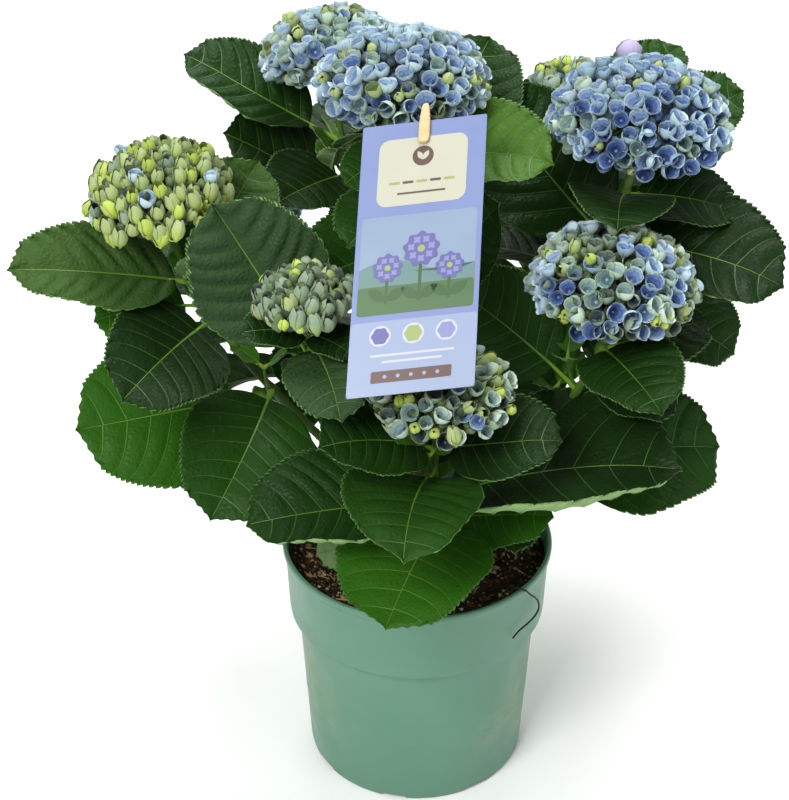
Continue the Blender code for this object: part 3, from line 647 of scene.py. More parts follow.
def settle(piece, *nodes):
    """The piece rides on the plant, and the imported nodes that it stands in for are hidden."""
    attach(piece, "root")
    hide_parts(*nodes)


class Growth:
    """A mesh in the making: points in millimetres, and quads with a material for each, by its name or
    number. A triangle is a quad that repeats its last corner.
    """

    def __init__(self, name, materials):
        self.name = name
        self.materials = materials
        self.numbers = {key: number for number, key in enumerate(materials)}
        self.points = []
        self.quads = []
        self.paint = []
        self.count = 0
        self.nodes = []

    def number(self, paint):
        return self.numbers[paint] if isinstance(paint, str) else paint

    def put(self, points):
        """Adds points and returns the number of the first of them."""
        points = np.asarray(points, float).reshape(-1, 3)
        start = self.count
        self.points.append(points)
        self.count += len(points)
        return start

    def face(self, quads, paint):
        """Adds faces, all of one material or each of its own."""
        quads = np.asarray(quads, int).reshape(-1, 4)
        self.quads.append(quads)
        self.paint.append(np.broadcast_to(np.asarray(self.number(paint), int), (len(quads),)))

    def grid(self, points, paint, flip=False, closed=False):
        """Adds rows of points with the faces between them, and returns the first point's number."""
        start = self.put(points)
        self.face(grid_quads(*points.shape[:2], start, flip, closed), paint)
        return start

    def fan(self, middle, ring, paint, flip=False):
        """Adds triangles from one point to every step round a ring of points."""
        first, second = ring, np.roll(ring, -1)
        if flip:
            first, second = second, first
        self.face(np.stack([np.full(len(ring), middle), first, second, second], axis=-1), paint)

    def triangles(self):
        return sum(len(quads) + int((quads[:, 2] != quads[:, 3]).sum()) for quads in self.quads)

    def arrays(self):
        return [np.concatenate(part) for part in (self.points, self.quads, self.paint)]

    def build(self, smooth=True):
        """The mesh object, in metres."""
        points, quads, paint = self.arrays()
        kept = np.ones(quads.shape, bool)
        kept[:, 3] = quads[:, 2] != quads[:, 3]
        sizes = kept.sum(axis=1)
        mesh = bpy.data.meshes.new(self.name)
        mesh.vertices.add(len(points))
        mesh.vertices.foreach_set("co", (points * MM).astype(np.float32).ravel())
        mesh.loops.add(int(sizes.sum()))
        mesh.loops.foreach_set("vertex_index", quads[kept].astype(np.int32))
        mesh.polygons.add(len(quads))
        mesh.polygons.foreach_set("loop_start", (np.cumsum(sizes) - sizes).astype(np.int32))
        mesh.polygons.foreach_set("material_index", paint.astype(np.int32))
        mesh.polygons.foreach_set("use_smooth", np.full(len(quads), smooth))
        mesh.update(calc_edges=True)
        mesh.validate()
        for material in self.materials.values():
            mesh.materials.append(material)
        return new_object(self.name, mesh)


class Kind:
    """Everything of one kind on the plant, joined into as few pieces as the limit allows."""

    def __init__(self, name, materials):
        self.name = name
        self.materials = materials
        self.growths = []

    def open(self, node, room=0):
        """The growth that takes the parts standing for a node, with room for some more triangles."""
        if not self.growths or self.growths[-1].triangles() + room > MOST_TRIANGLES:
            self.growths.append(Growth(f"{self.name}_{len(self.growths) + 1}", self.materials))
        growth = self.growths[-1]
        if node not in growth.nodes:
            growth.nodes.append(node)
        return growth

    def finish(self, smooth=True):
        for growth in self.growths:
            settle(growth.build(smooth), *growth.nodes)


def grid_quads(rows, columns, start, flip, closed):
    """Quads over points numbered row by row from start; closed joins the last column to the first.

    Turned over, a quad keeps its first corner, so that both sheets of a leaf are split alike.
    """
    i, j = np.meshgrid(np.arange(rows - 1), np.arange(columns - (not closed)), indexing="ij")
    k = (j + 1) % columns
    a = start + i * columns
    quads = np.stack([a + j, a + columns + j, a + columns + k, a + k], axis=-1).reshape(-1, 4)
    return quads[:, [0, 3, 2, 1]] if flip else quads


def unit(vectors):
    return vectors / np.maximum(np.linalg.norm(vectors, axis=-1, keepdims=True), 1e-12)


def smooth_step(low, high, value):
    share = np.clip((value - low) / (high - low), 0.0, 1.0)
    return share * share * (3 - 2 * share)


def turns_of(count):
    """Even turns once round, in radians."""
    return 2 * math.pi * np.arange(count) / count


def around(radius, turn, height):
    """Points about Z at a radius, a turn in radians and a height."""
    return np.stack(np.broadcast_arrays(radius * np.cos(turn), radius * np.sin(turn), height), axis=-1)


def aim(heading, lift):
    """The unit vector at a compass heading from +X and a lift above level."""
    h = math.radians(heading)
    e = math.radians(lift)
    return np.array((math.cos(h) * math.cos(e), math.sin(h) * math.cos(e), math.sin(e)))


def frame_on(way, turn):
    """Columns across, beside and along a way, turned about it."""
    across = unit(np.cross(way, np.array((0.31, 0.87, 0.38))))
    beside = np.cross(way, across)
    first = across * math.cos(turn) + beside * math.sin(turn)
    return np.stack([first, np.cross(way, first), way], axis=-1)


def curve_through(corners, count):
    """Points of the smooth curve led by three corners."""
    a, b, c = (np.asarray(p, float) for p in corners)
    share = np.linspace(0, 1, count)[:, None]
    return a * (1 - share) ** 2 + b * 2 * share * (1 - share) + c * share**2


def tube(growth, line, radii, sides, paint, ribs=0.0, rib_count=5):
    """A tube along a line, closed at both ends, with a radius for each point and paint for each step."""
    line = np.asarray(line, float)
    ways = unit(np.gradient(line, axis=0))
    across = np.cross(ways[0], UP if abs(ways[0][2]) < 0.9 else np.array((1.0, 0, 0)))
    turns = turns_of(sides)
    swell = 1 + ribs * np.cos(turns * rib_count)
    rings = []
    for centre, way, radius in zip(line, ways, np.broadcast_to(radii, (len(line),))):
        across = across - way * across.dot(way)
        across = across / np.linalg.norm(across)
        beside = np.cross(way, across)
        ring = np.outer(np.cos(turns) * swell, across) + np.outer(np.sin(turns) * swell, beside)
        rings.append(centre + ring * radius)
    paints = np.repeat(np.broadcast_to(growth.number(paint), (len(line) - 1,)), sides)
    start = growth.grid(np.array(rings), paints, flip=True, closed=True)
    last = start + (len(line) - 1) * sides
    growth.fan(growth.put(line[0]), start + np.arange(sides), paints[0], flip=True)
    growth.fan(growth.put(line[-1]), last + np.arange(sides), paints[-1])


def lathe(growth, profile, sides, paint):
    """A surface turned about Z from (radius, height) pairs."""
    radius, height = np.array(profile, float).T[..., None]
    growth.grid(around(radius, turns_of(sides), height), paint, flip=True, closed=True)


# ---- the plant's rule


class Shoot:
    """The curve of one shoot from the knuckle to its tip."""

    def __init__(self, name):
        self.name = name
        self.flowering = name in FLOWERING
        if self.flowering:
            foot_heading, foot_lift, middle, self.half, heading, lift, _ = FLOWERING[name]
            self.middle = np.array(middle, float)
            self.axis = aim(heading, lift)
            end = self.middle - self.axis * self.half * DOME_BELOW
        else:
            foot_heading, foot_lift, tip, heading, lift, _ = LEAFY[name]
            self.axis = aim(heading, lift)
            end = np.array(tip, float)
        out = aim(foot_heading, foot_lift)
        foot = UP * KNUCKLE_HEIGHT + out * (KNUCKLE_RADIUS + GAP)
        self.length = float(np.linalg.norm(end - foot))
        handle = self.length * 0.33
        self.corners = (foot, foot + out * handle, end - self.axis * handle, end)
        self.top = 1.0 - 0.35 * self.half / self.length if self.flowering else 1.0

    def at(self, share):
        a, b, c, d = self.corners
        share = np.asarray(share, float)[..., None]
        rest = 1 - share
        return a * rest**3 + b * 3 * share * rest**2 + c * 3 * share**2 * rest + d * share**3

    def radius(self, share):
        return FOOT_RADIUS + (TIP_RADIUS - FOOT_RADIUS) * np.asarray(share, float)

    def rows(self):
        """Each leaf of the table as (share, heading, reach, lift, face, petiole)."""
        made = []
        for share, *leaves in LEAVES[self.name]:
            share = min(share, self.top - LEAF_ROOM / self.length)
            for heading, reach, lift, *more in leaves:
                face = more[0] if more else None
                petiole = more[1] if len(more) > 1 else PETIOLE_SHARE
                made.append((share, heading, reach, lift, face, petiole))
        return made


def facing(middle, share):
    """The way a leaf turns its face: up, and by a share to the front, or by rule back or front."""
    if share is None:
        share = max(-0.4, min(0.35, -middle[1] / FACE_SPREAD))
    way = np.array((0.0, -1.0 if share > 0 else 1.0, 0.0))
    return UP * (1 - abs(share)) + way * abs(share)


def tries():
    """The small changes that a leaf may take to keep clear, the smallest first."""
    made = [
        (abs(lift) + 0.8 * abs(turn) + 120 * (1 - size), lift, turn, size)
        for lift in LIFT_TRIES
        for turn in TURN_TRIES
        for size in SIZE_TRIES
    ]
    return [row[1:] for row in sorted(made, key=lambda row: row[0])]


def mass_tips(name):
    """A finder for the corners of one packed mass of leaves, in millimetres."""
    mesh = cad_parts["leaves_" + name].data
    tree = KDTree(len(mesh.vertices))
    for number, vertex in enumerate(mesh.vertices):
        tree.insert(vertex.co / MM, number)
    tree.balance()
    return tree


def grown_leaves(shoot):
    """The shoot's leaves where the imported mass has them: share, root and pose of each.

    A leaf takes the first change of the rule that puts its tip on a corner of the mass.
    """
    corners = mass_tips(shoot.name)
    made = []
    for share, heading, reach, lift, face, petiole in shoot.rows():
        root = shoot.at(share)
        for more_lift, turn, size in tries():
            tip = root + aim(heading + turn, lift + more_lift) * reach * size
            if corners.find(Vector(tip))[2] < TIP_MATCH:
                pose = (heading + turn, reach * size, lift + more_lift, face, petiole)
                made.append((share, root, pose))
                break
    return made


# ---- leaves


class Leaf:
    """One leaf: its midrib's curve, the way it faces, and how its blade widens, folds and curls."""

    def __init__(self, root, pose, green, rng, pairs=None, parts=None):
        heading, self.reach, lift, face, self.petiole = pose
        chord = aim(heading, lift)
        over = facing(root + chord * self.reach / 2, face)
        over = unit(over - chord * over.dot(chord))
        bow = LEAF_SAG * (1 - max(0.0, lift) / STRAIGHT_LIFT)
        self.side = np.cross(over, chord)
        self.begin = root + chord * ROOT_OFFSET
        self.bend = root + chord * self.reach * 0.5 + over * self.reach * bow
        self.tip = root + chord * self.reach
        self.widest = self.reach * (1 - self.petiole) * LEAF_BREADTH / 2
        self.scale = (self.reach / USUAL_REACH) ** 0.5
        self.quilt = QUILT * self.reach / USUAL_REACH
        self.green = green
        big = self.reach > BIG_LEAF
        self.pairs = pairs or (7 if big else 6)
        self.parts = parts or (6 if big else 4)
        self.vary(rng)

    def vary(self, rng):
        """Gives the leaf its own veins, wave, curl and droop."""
        steps = np.linspace(0, 1, self.pairs + 2)
        self.veins = []
        for _ in range(2):
            jitter = rng.normal(0, 0.009, len(steps))
            jitter[[0, -1]] = 0
            self.veins.append(steps**1.25 + jitter)
        self.wave = rng.uniform(0.6, 2.0) * self.reach / USUAL_REACH
        self.phase = (rng.uniform(), rng.uniform())
        curl = rng.uniform(-0.02, 0.035, 2)
        self.curl = tuple(np.where(np.abs(curl) > 0.002, curl, 0.002))
        self.droop = rng.uniform(0.5, 4.0)
        self.sway = rng.normal(0, 0.022) * self.reach

    def dress(self, green, quilt, breadth, *curl):
        """Gives the leaf a look of its own, from SPECIAL."""
        self.green = green
        self.quilt *= quilt
        self.widest *= breadth
        self.curl = curl or EVEN_CURL

    def row(self, step, side):
        """The share along the midrib where a row starts: whole steps are side veins."""
        return np.interp(step, np.arange(self.pairs + 2), self.veins[side])

    def midrib(self, share):
        """Points of the midrib at shares of the whole reach, and the way up from it."""
        share = np.asarray(share, float)[..., None]
        rest = 1 - share
        centre = self.begin * rest**2 + self.bend * 2 * share * rest + self.tip * share**2
        along = unit((self.bend - self.begin) * rest + (self.tip - self.bend) * share)
        centre = centre + self.side * (4 * self.sway * share * rest)
        return centre, unit(np.cross(along, self.side))

    def half_width(self, along):
        """Half the blade's width: the rule's outline, drawn out at the end to a drip tip."""
        along = np.clip(along, 0.0, 1.0)
        inner = np.minimum(along, DRIP_START)
        blunt = 0.6 - 0.17 * smooth_step(0.4, 0.95, inner)
        full = np.sin(np.pi * inner**0.91) ** blunt * (1 - 0.08 * inner**4)
        drip = np.clip((1 - along) / (1 - DRIP_START), 0.0, 1.0) ** 1.25
        return np.maximum(full * drip * self.widest, 0.25 + 1.1 * (1 - along) ** 3)

    def sweep(self, row, across):
        """How far along the blade the point of a vein row lies, since side veins run forward."""
        most = 1.75 * (1 - row) * (1 - np.exp(-row / 0.2))
        forward = (1 - VEIN_ARCH) * across + VEIN_ARCH * across**3
        return np.clip(row + VEIN_SWEEP * most * forward, 0.0, 1.0)

    def quilting(self, step, across):
        """The lamina's rise between the side veins."""
        swell = np.abs(np.sin(np.pi * step)) ** 0.7
        return self.quilt * swell * smooth_step(0.0, 0.3, across) * (1 - 0.45 * across**3)

    def blade(self, along, out, side, rise):
        """Points on the blade: a share along it, millimetres out from the midrib, a rise off it."""
        centre, normal = self.midrib(self.petiole + (1 - self.petiole) * along)
        half = self.half_width(along)
        way = 1.0 if side == 0 else -1.0
        share = np.minimum(out / half, 1.1)
        wave = self.wave * np.sin(2 * np.pi * (1.9 * along + self.phase[side])) * share**2
        droop = self.droop * smooth_step(0.72, 1.1, along)
        fold = math.atan(LEAF_FOLD)
        flat = np.minimum(out, half * FLAT_SHARE)
        bend = self.curl[side]
        end = fold + bend * (out - flat)
        across = flat * math.cos(fold) + (np.sin(end) - math.sin(fold)) / bend
        lift = flat * math.sin(fold) + (math.cos(fold) - np.cos(end)) / bend
        rise = rise + wave
        away = across - rise * np.sin(end)
        lift = lift + rise * np.cos(end) - droop
        return centre + self.side * (way * away)[..., None] + normal * lift[..., None]


def leaf_half(growth, leaf, side, top):
    """One half of one sheet of a blade; returns the points along its outer edge."""
    rows = (leaf.pairs + 1) * leaf.parts + 1
    step = np.linspace(0.0, leaf.pairs + 1, rows)[:, None]
    across = np.array(COLUMNS)[None, :]
    along = leaf.sweep(leaf.row(step, side), across)
    rise = leaf.quilting(step, across) + (SHEET if top else -SHEET)
    points = leaf.blade(along, across * leaf.half_width(along), side, rise)
    start = growth.grid(points, leaf.green if top else "under", flip=(side == 1) == top)
    return start + (len(COLUMNS) - 1) + len(COLUMNS) * np.arange(rows)


def leaf_margin(leaf, side, inset, rise):
    """Points of a toothed margin, four for each tooth, set in by inset millimetres."""
    count = 2 * (leaf.pairs + 1) * leaf.parts + 1
    step = np.linspace(0.0, leaf.pairs + 1, count)
    part = np.arange(count) % 4
    row = leaf.row(step, side)
    along = leaf.sweep(row, np.ones(count))
    fade = smooth_step(0.04, 0.12, row) * (1 - smooth_step(0.90, 0.97, row))
    blunted = 0.12 if leaf.curl[side] > CURLED else 1.0
    depth = TOOTH_DEPTH * leaf.scale * fade * blunted
    out = leaf.half_width(along) + depth * (np.array(TOOTH_OUT)[part] - 0.6) - inset * fade
    forward = np.array(TOOTH_FORWARD)[part] * 4.0 / count * fade
    lifted = leaf.quilting(step, np.ones(count)) + rise
    return leaf.blade(np.clip(along + forward, 0, 1), np.maximum(out, 0.2), side, lifted)


def fan_quads(inner, outer):
    """Faces from a row of points to a row with twice as many steps."""
    wide = np.stack([inner[:-1], inner[1:], outer[2::2], outer[1::2]], axis=-1)
    thin = np.stack([inner[:-1], outer[1::2], outer[:-1:2], outer[:-1:2]], axis=-1)
    return np.concatenate([wide, thin])


def turned_over(quads):
    """The same faces seen from behind, with a triangle's repeated corner still last."""
    three = quads[:, 2] == quads[:, 3]
    back = quads[:, ::-1].copy()
    back[three] = quads[three][:, [2, 1, 0, 0]]
    return back


def leaf_side(growth, leaf, side):
    """Both sheets of one half of a blade, and the toothed margin that closes them."""
    upper = leaf_half(growth, leaf, side, True)
    lower = leaf_half(growth, leaf, side, False)
    inner = growth.put(leaf_margin(leaf, side, MARGIN, SHEET))
    outer = growth.put(leaf_margin(leaf, side, 0.0, 0.0))
    steps = np.arange(outer - inner)
    inner = inner + steps
    outer = outer + steps
    shell = fan_quads(upper, inner)
    band = np.stack([inner[:-1], inner[1:], outer[1:], outer[:-1]], axis=-1)
    under = fan_quads(lower, outer)
    if side == 1:
        shell = turned_over(shell)
        band = band[:, ::-1]
    else:
        under = turned_over(under)
    growth.face(shell, leaf.green)
    growth.face(band, "margin")
    growth.face(under, "under")


def side_veins(growth, leaf, side, top):
    """Tapering ribs that lie along the side veins, on the face or under it."""
    if leaf.quilt > PUCKERED:
        return
    across = np.linspace(0.0, 0.93, 9)
    sign = 1.0 if top else -1.0
    tone = "rib_under" if not top else "midrib" if leaf.green == "fresh" else "vein"
    width = (0.6 if top else 1.3) * (1 - 0.8 * across) * leaf.scale
    for number in range(1, leaf.pairs + 1):
        row = leaf.row(number, side)
        rise = leaf.quilting(number, across) + sign * (SHEET + 0.28) + 0.1 * leaf.quilt * top
        strip = []
        for edge in (-0.5, 0.5):
            along = leaf.sweep(row + edge * width / leaf.reach, across)
            strip.append(leaf.blade(along, across * leaf.half_width(along), side, rise))
        growth.grid(np.stack(strip, axis=1), tone, flip=(side == 1) != top)


def main_vein(growth, leaf, top):
    """The midrib: a low ridge on the face, and a strong one under it."""
    along = np.linspace(0.0, 0.97, 22)
    width = (0.62 if top else 1.35) * (1 - 0.72 * along) * leaf.scale
    width = width + 0.55 * (1 - along) ** 4
    sign = 1.0 if top else -1.0
    height = 0.45 if top else 1.5 * (1 - 0.7 * along)
    edge = np.full(along.shape, sign * (SHEET + (0.22 if top else -0.05)))
    rows = [
        leaf.blade(along, width, 0, edge),
        leaf.blade(along, along * 0, 0, sign * (SHEET + height) + along * 0),
        leaf.blade(along, width, 1, edge),
    ]
    growth.grid(np.stack(rows, axis=1), "midrib" if top else "rib_under", flip=not top)


def grow_leaf(growth, leaf):
    for side in (0, 1):
        leaf_side(growth, leaf, side)
        side_veins(growth, leaf, side, True)
        side_veins(growth, leaf, side, False)
    main_vein(growth, leaf, True)
    main_vein(growth, leaf, False)


def grow_petiole(growth, leaf, foot_radius):
    """The leaf's stalk, stout where it clasps the stem and grooved along its upper side."""
    shares = np.linspace(0.0, leaf.petiole + 0.05, 8)
    line = leaf.midrib(shares)[0]
    line[0] = line[0] - (line[1] - line[0]) * 0.5
    stout = foot_radius * 0.5 * np.exp(-shares * leaf.reach / 4)
    radii = (1.75 - 0.75 * shares / shares[-1]) * (leaf.reach / USUAL_REACH) ** 0.35 + stout
    radii[-1] = 0.5
    tube(growth, line, radii, 10, "petiole", ribs=0.06, rib_count=3)


def nudged(pose, turn, lift, size):
    heading, reach, lifted, *rest = pose
    return (heading + turn, reach * size, lifted + lift, *rest)


def shoot_leaves(shoot, rng):
    """The shoot's leaves with their places up it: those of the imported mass, then its young ones."""
    for number, (share, root, pose) in enumerate(grown_leaves(shoot)):
        green = GREENS[int(rng.integers(len(GREENS)))]
        leaf = Leaf(root, nudged(pose, *NUDGES.get((shoot.name, number), (0, 0, 1.0))), green, rng)
        if number in SPECIAL.get(shoot.name, ()):
            leaf.dress(*SPECIAL[shoot.name][number])
        yield share, leaf
    for name, share, green, pose in YOUNG_LEAVES:
        if name == shoot.name:
            yield share, Leaf(shoot.at(share), pose, green, rng)


def make_leaves(shoots, rng):
    """All leaves, joined by masses, and each shoot's own for the stalks that they stand on."""
    kind = Kind("leaves", leaf_materials())
    grown = {}
    for shoot in shoots:
        grown[shoot.name] = list(shoot_leaves(shoot, rng))
        for _, leaf in grown[shoot.name]:
            grow_leaf(kind.open("leaves_" + shoot.name, LEAF_ROOM_LEFT), leaf)
    return kind, grown


# ---- stems and twigs


def grow_stem(growth, shoot, rng):
    """One shoot's stem: woody at its foot, ripe and then green above, swollen where leaves open."""
    shares = np.linspace(-0.02, shoot.top, int(shoot.length / 3.5))
    radii = shoot.radius(shares)
    for share in sorted({row[0] for row in shoot.rows()}):
        near = (shares - share) * shoot.length
        radii = radii + NODE_SWELL * np.exp(-((near / 3.2) ** 2))
    radii = radii + 0.12 * np.sin(shares * shoot.length / 9 + rng.uniform(0, 6))
    paint = np.full(len(shares) - 1, growth.number("stem_green"))
    paint[shares[1:] < RIPE_BELOW] = growth.number("stem_ripe")
    paint[shares[1:] < WOOD_BELOW] = growth.number("stem_wood")
    tube(growth, shoot.at(shares), radii, 14, paint, ribs=0.03, rib_count=4)
    for share in rng.uniform(0.02, shoot.top * 0.9, int(shoot.length / 7)):
        lenticel(growth, shoot, float(share), rng.uniform(0, 2 * math.pi))


def lenticel(growth, shoot, share, turn):
    """A small raised lens on the bark, longer up the stem than across it."""
    centre = shoot.at(share)
    way = unit(shoot.at(share + 0.01) - centre)
    across = unit(np.cross(way, UP + np.array((0.3, 0.1, 0))))
    out = across * math.cos(turn) + np.cross(way, across) * math.sin(turn)
    base = centre + out * (float(shoot.radius(share)) - 0.1)
    turns = turns_of(6)
    ring = base + np.outer(np.cos(turns) * 1.1, way) + np.outer(np.sin(turns) * 0.5, np.cross(way, out))
    start = growth.put(np.concatenate([[base + out * 0.45], ring]))
    growth.fan(start, start + 1 + np.arange(6), "lenticel")


def grow_basal(stems, leaves, rng):
    """The small pale leaf that lies out from the woody foot."""
    low = Leaf(BASAL_ROOT, BASAL_LEAF, "under", rng, parts=2)
    grow_leaf(leaves, low)
    grow_petiole(stems, low, 0.9)


def grow_axils(stems, leaves, shoot, grown, rng):
    """Short side twigs in the axils of the lower leaves, each with a few small young leaves."""
    for share, leaf in grown:
        if share > 0.8 or leaf.reach < 70:
            continue
        heading = math.degrees(math.atan2(*(leaf.tip - leaf.begin)[[1, 0]]))
        lift = rng.uniform(48, 66)
        length = rng.uniform(12, 24)
        foot = shoot.at(share + 2.0 / shoot.length)
        end = foot + aim(heading, lift) * length + UP * 2
        line = [foot, foot + aim(heading, 25) * length * 0.35, end]
        tube(stems, curve_through(line, 7), np.linspace(1.5, 0.9, 7), 8, "stem_green")
        for turn in (90, 270):
            pose = (heading + turn, rng.uniform(20, 34), rng.uniform(28, 58), None, 0.16)
            young = Leaf(end, pose, "young", rng, pairs=5, parts=2)
            young.quilt = 0.5
            young.wave = 0.5
            grow_leaf(leaves, young)
            grow_petiole(stems, young, 0.9)


# ---- florets


def floret_shape(radius, depth, draw, flare, point, rng):
    """Points, quads and part numbers of one floret on the origin: four cupped sepals that overlap."""
    shape = Growth("floret", {})
    across = np.linspace(-1, 1, CUP_COLUMNS)[None, :]
    up = np.array(CUP_ROWS)[:, None]
    # The inside's rows take the deep, mid, light and rim colours: painted shade, darkest at the cup's foot.
    inside = np.repeat([0, 1, 2, 3], CUP_COLUMNS - 1)
    outside = np.array((5, 6, 4, 4))[inside]
    edge = up * (1 - point * np.abs(across) ** 2.2)
    for number in range(4):
        reach = rng.uniform(0.95, 1.05)
        out = radius * np.sin(edge * draw)
        out = out + flare * radius * edge**6 + OVERLAP * across * up + 0.16
        turn = math.pi / 2 * number + np.radians(SEPAL_SPAN) * across * (0.75 + 0.25 * up)
        rise = depth * (edge * reach) ** 1.25
        if draw > CLOSED:
            rise = depth * (1 - np.cos(edge * draw)) / 2
        thick = SEPAL_THICK * (1 - across**2) * (1 - up**2)
        # The inside is seen from the axis, so its faces wind the other way from the outside's.
        shape.grid(around(out, turn, rise), inside)
        shape.grid(around(out + thick, turn, rise), outside, flip=True)
    floret_eye(shape, radius * 0.2, depth * 0.14)
    return shape.arrays()


def floret_eye(shape, radius, height):
    """The small round eye that closes the foot of a floret."""
    profile = ((1.15, -0.2), (1.0, 0.7), (0.6, 1.3))
    rings = [around(radius * out, turns_of(6), height * up) for out, up in profile]
    start = shape.grid(np.array(rings), 2, flip=True, closed=True)
    shape.fan(shape.put((0.0, 0.0, height * 1.45)), start + 12 + np.arange(6), 2)


def head_directions(count, lowest):
    """Directions spread evenly over a dome about +Z, from its pole to the lowest height."""
    z = 1 - (1 - lowest) * (np.arange(count) + 0.5) / count
    ring = np.sqrt(np.maximum(0.0, 1 - z * z))
    return around(ring, np.arange(count) * math.pi * (3 - math.sqrt(5)), z)


def dome(directions, half):
    """The head's outer surface in some directions, flatter above and below than it is wide."""
    height = np.where(directions[..., 2] >= 0, DOME_TOP, DOME_BELOW)
    scale = np.stack([np.ones_like(height), np.ones_like(height), height], axis=-1)
    return directions * scale * half


def pick(mix, value):
    """The row of a mix that a value from 0 to 1 falls in."""
    for colours, shape, share in mix:
        value -= share
        if value <= 0:
            return colours, shape
    return mix[-1][:2]


class Head:
    """One flower head, in its own frame: its middle at the origin, +Z along its shoot's axis."""

    def __init__(self, growth, stems, shoot, shapes, rng):
        self.growth = growth
        self.stems = stems
        self.shoot = shoot
        self.shapes = shapes
        self.rng = rng
        self.stand = np.array(Vector(UP).rotation_difference(Vector(shoot.axis)).to_matrix())
        self.up = self.stand.T @ UP
        self.sort, self.wide, high, self.lowest = HEADS[shoot.name]
        self.fit = np.array((self.wide, self.wide, high))

    def place(self, local):
        return self.shoot.middle + local @ self.stand.T

    def grow(self):
        """Florets over the dome, small buds between them, and the stalks that bear them."""
        rng = self.rng
        upright, dense, big, fillers = HABITS[self.sort]
        area = (self.wide * self.shoot.half) ** 2
        count = round(dense * area * (1 - self.lowest) / (1 - LOWEST))
        rays = self.rays()
        for direction in head_directions(count, self.lowest):
            colours, shape = pick(MIXES[self.sort], rng.uniform())
            size = rng.uniform(0.80, 1.12) * big
            half = self.shoot.half - rng.uniform(2.0, 7.0)
            rim = dome(unit(direction + rng.normal(0, 0.028, 3)), half) * self.fit
            way = unit(self.floret_way(rim, direction, upright) + rng.normal(0, 0.2, 3))
            base = rim - way * SHAPES[shape][1] * size
            self.floret(shape, base, way, size, colours)
            self.pedicel(base, way, rays)
        if self.shoot.name == PINK_HEAD:
            self.pink()
        self.fill(fillers, upright)

    def rays(self):
        """The main rays of the cyme, from the stem's top out into the dome; returns their ends."""
        shoot = self.shoot
        line = np.concatenate([shoot.at(np.linspace(shoot.top, 1.0, 5)), [shoot.middle]])
        tube(self.stems, line, PEDUNCLE_RADIUS, 10, "cyme")
        start = shoot.at(1.0)
        ends = []
        for number in range(RAYS):
            lean = 0.25 + 0.75 * (number / (RAYS - 1)) ** 0.6
            end = around(lean, number * 2.4, 0.55 - 0.35 * lean) * shoot.half * 0.48
            reach = self.place(end)
            line = curve_through((start, (start + reach) / 2 + UP * -3, reach), 6)
            tube(self.stems, line, 1.3, 6, "cyme")
            ends.append(end)
        return np.array(ends)

    def floret_way(self, rim, direction, upright):
        """The way a floret looks out: off the dome, turned by a share to straight up."""
        steep = 1 / DOME_TOP**2 if direction[2] > 0 else 0.6
        return unit(rim * np.array((1.0, 1.0, steep))) * (1 - upright) + self.up * upright

    def floret(self, shape, base, way, size, colours):
        """Adds one floret with its foot at base."""
        variants = self.shapes[shape]
        points, quads, parts = variants[int(self.rng.integers(len(variants)))]
        local = (points * size) @ frame_on(way, self.rng.uniform(0, 2 * math.pi)).T + base
        start = self.growth.put(self.place(local))
        self.growth.face(quads + start, self.growth.number(colours + "_deep") + parts)

    def pedicel(self, base, way, rays):
        """The thin stalk of one floret, from the nearest ray of the cyme."""
        near = rays[int(np.argmin(np.linalg.norm(rays - base, axis=1)))]
        line = curve_through((near, base - way * 6, base + way * 0.3), 4)
        tube(self.stems, self.place(line), 0.55, 4, "cyme")

    def pink(self):
        """The one large pinkish bud that stands out of the top of the bluest head."""
        rim = dome(unit(self.stand.T @ unit(np.array(PINK_WAY))), self.shoot.half)
        way = unit(self.up + unit(rim) * 0.3)
        self.floret("ball", rim - way * PINK_DEPTH, way, 1.0, "pink")

    def fill(self, fillers, upright):
        """The small unopened buds below the florets, which close the gaps between them, coloured in the
        cups' darker inside tones as painted shade in the gaps.
        """
        rng = self.rng
        half = self.shoot.half
        for deep, share, big in FILL_LAYERS:
            for direction in head_directions(round(share * FILL_PER_AREA * half**2), LOWEST - 0.2):
                out = half * (deep + rng.uniform(0, 0.08))
                rim = dome(unit(direction + rng.normal(0, 0.04, 3)), out) * self.fit
                way = unit(unit(rim) * (1 - upright) + self.up * upright)
                size = rng.uniform(3.0, 4.3) * big
                self.small_bud(rim, way, size, fillers[int(rng.integers(len(fillers)))])

    def small_bud(self, top, way, size, colours):
        """One closed bud under the florets: four rings and a tip, with darker creases painted as shade."""
        sides = 7
        profile = ((0.35, -2.2), (0.95, -1.3), (0.9, -0.5), (0.4, -0.1))
        rings = [around(out, turns_of(sides), height) for out, height in profile]
        local = np.concatenate([*rings, [[0.0, 0.0, 0.06]]]) * size
        local = local @ frame_on(way, self.rng.uniform(0, 2 * math.pi)).T + top
        points = self.place(local)
        # Painted shade: the bud takes the mid inside tone, darkened to the deep one in its creases and tip.
        paint = self.growth.number(colours + "_deep")
        shaded_seams = np.where(np.arange(3 * sides) % sides < 3, paint, paint + 1)
        start = self.growth.grid(points[:-1].reshape(4, sides, 3), shaded_seams, flip=True, closed=True)
        self.growth.fan(self.growth.put(points[-1]), start + 3 * sides + np.arange(sides), paint)


# ---- woody foot


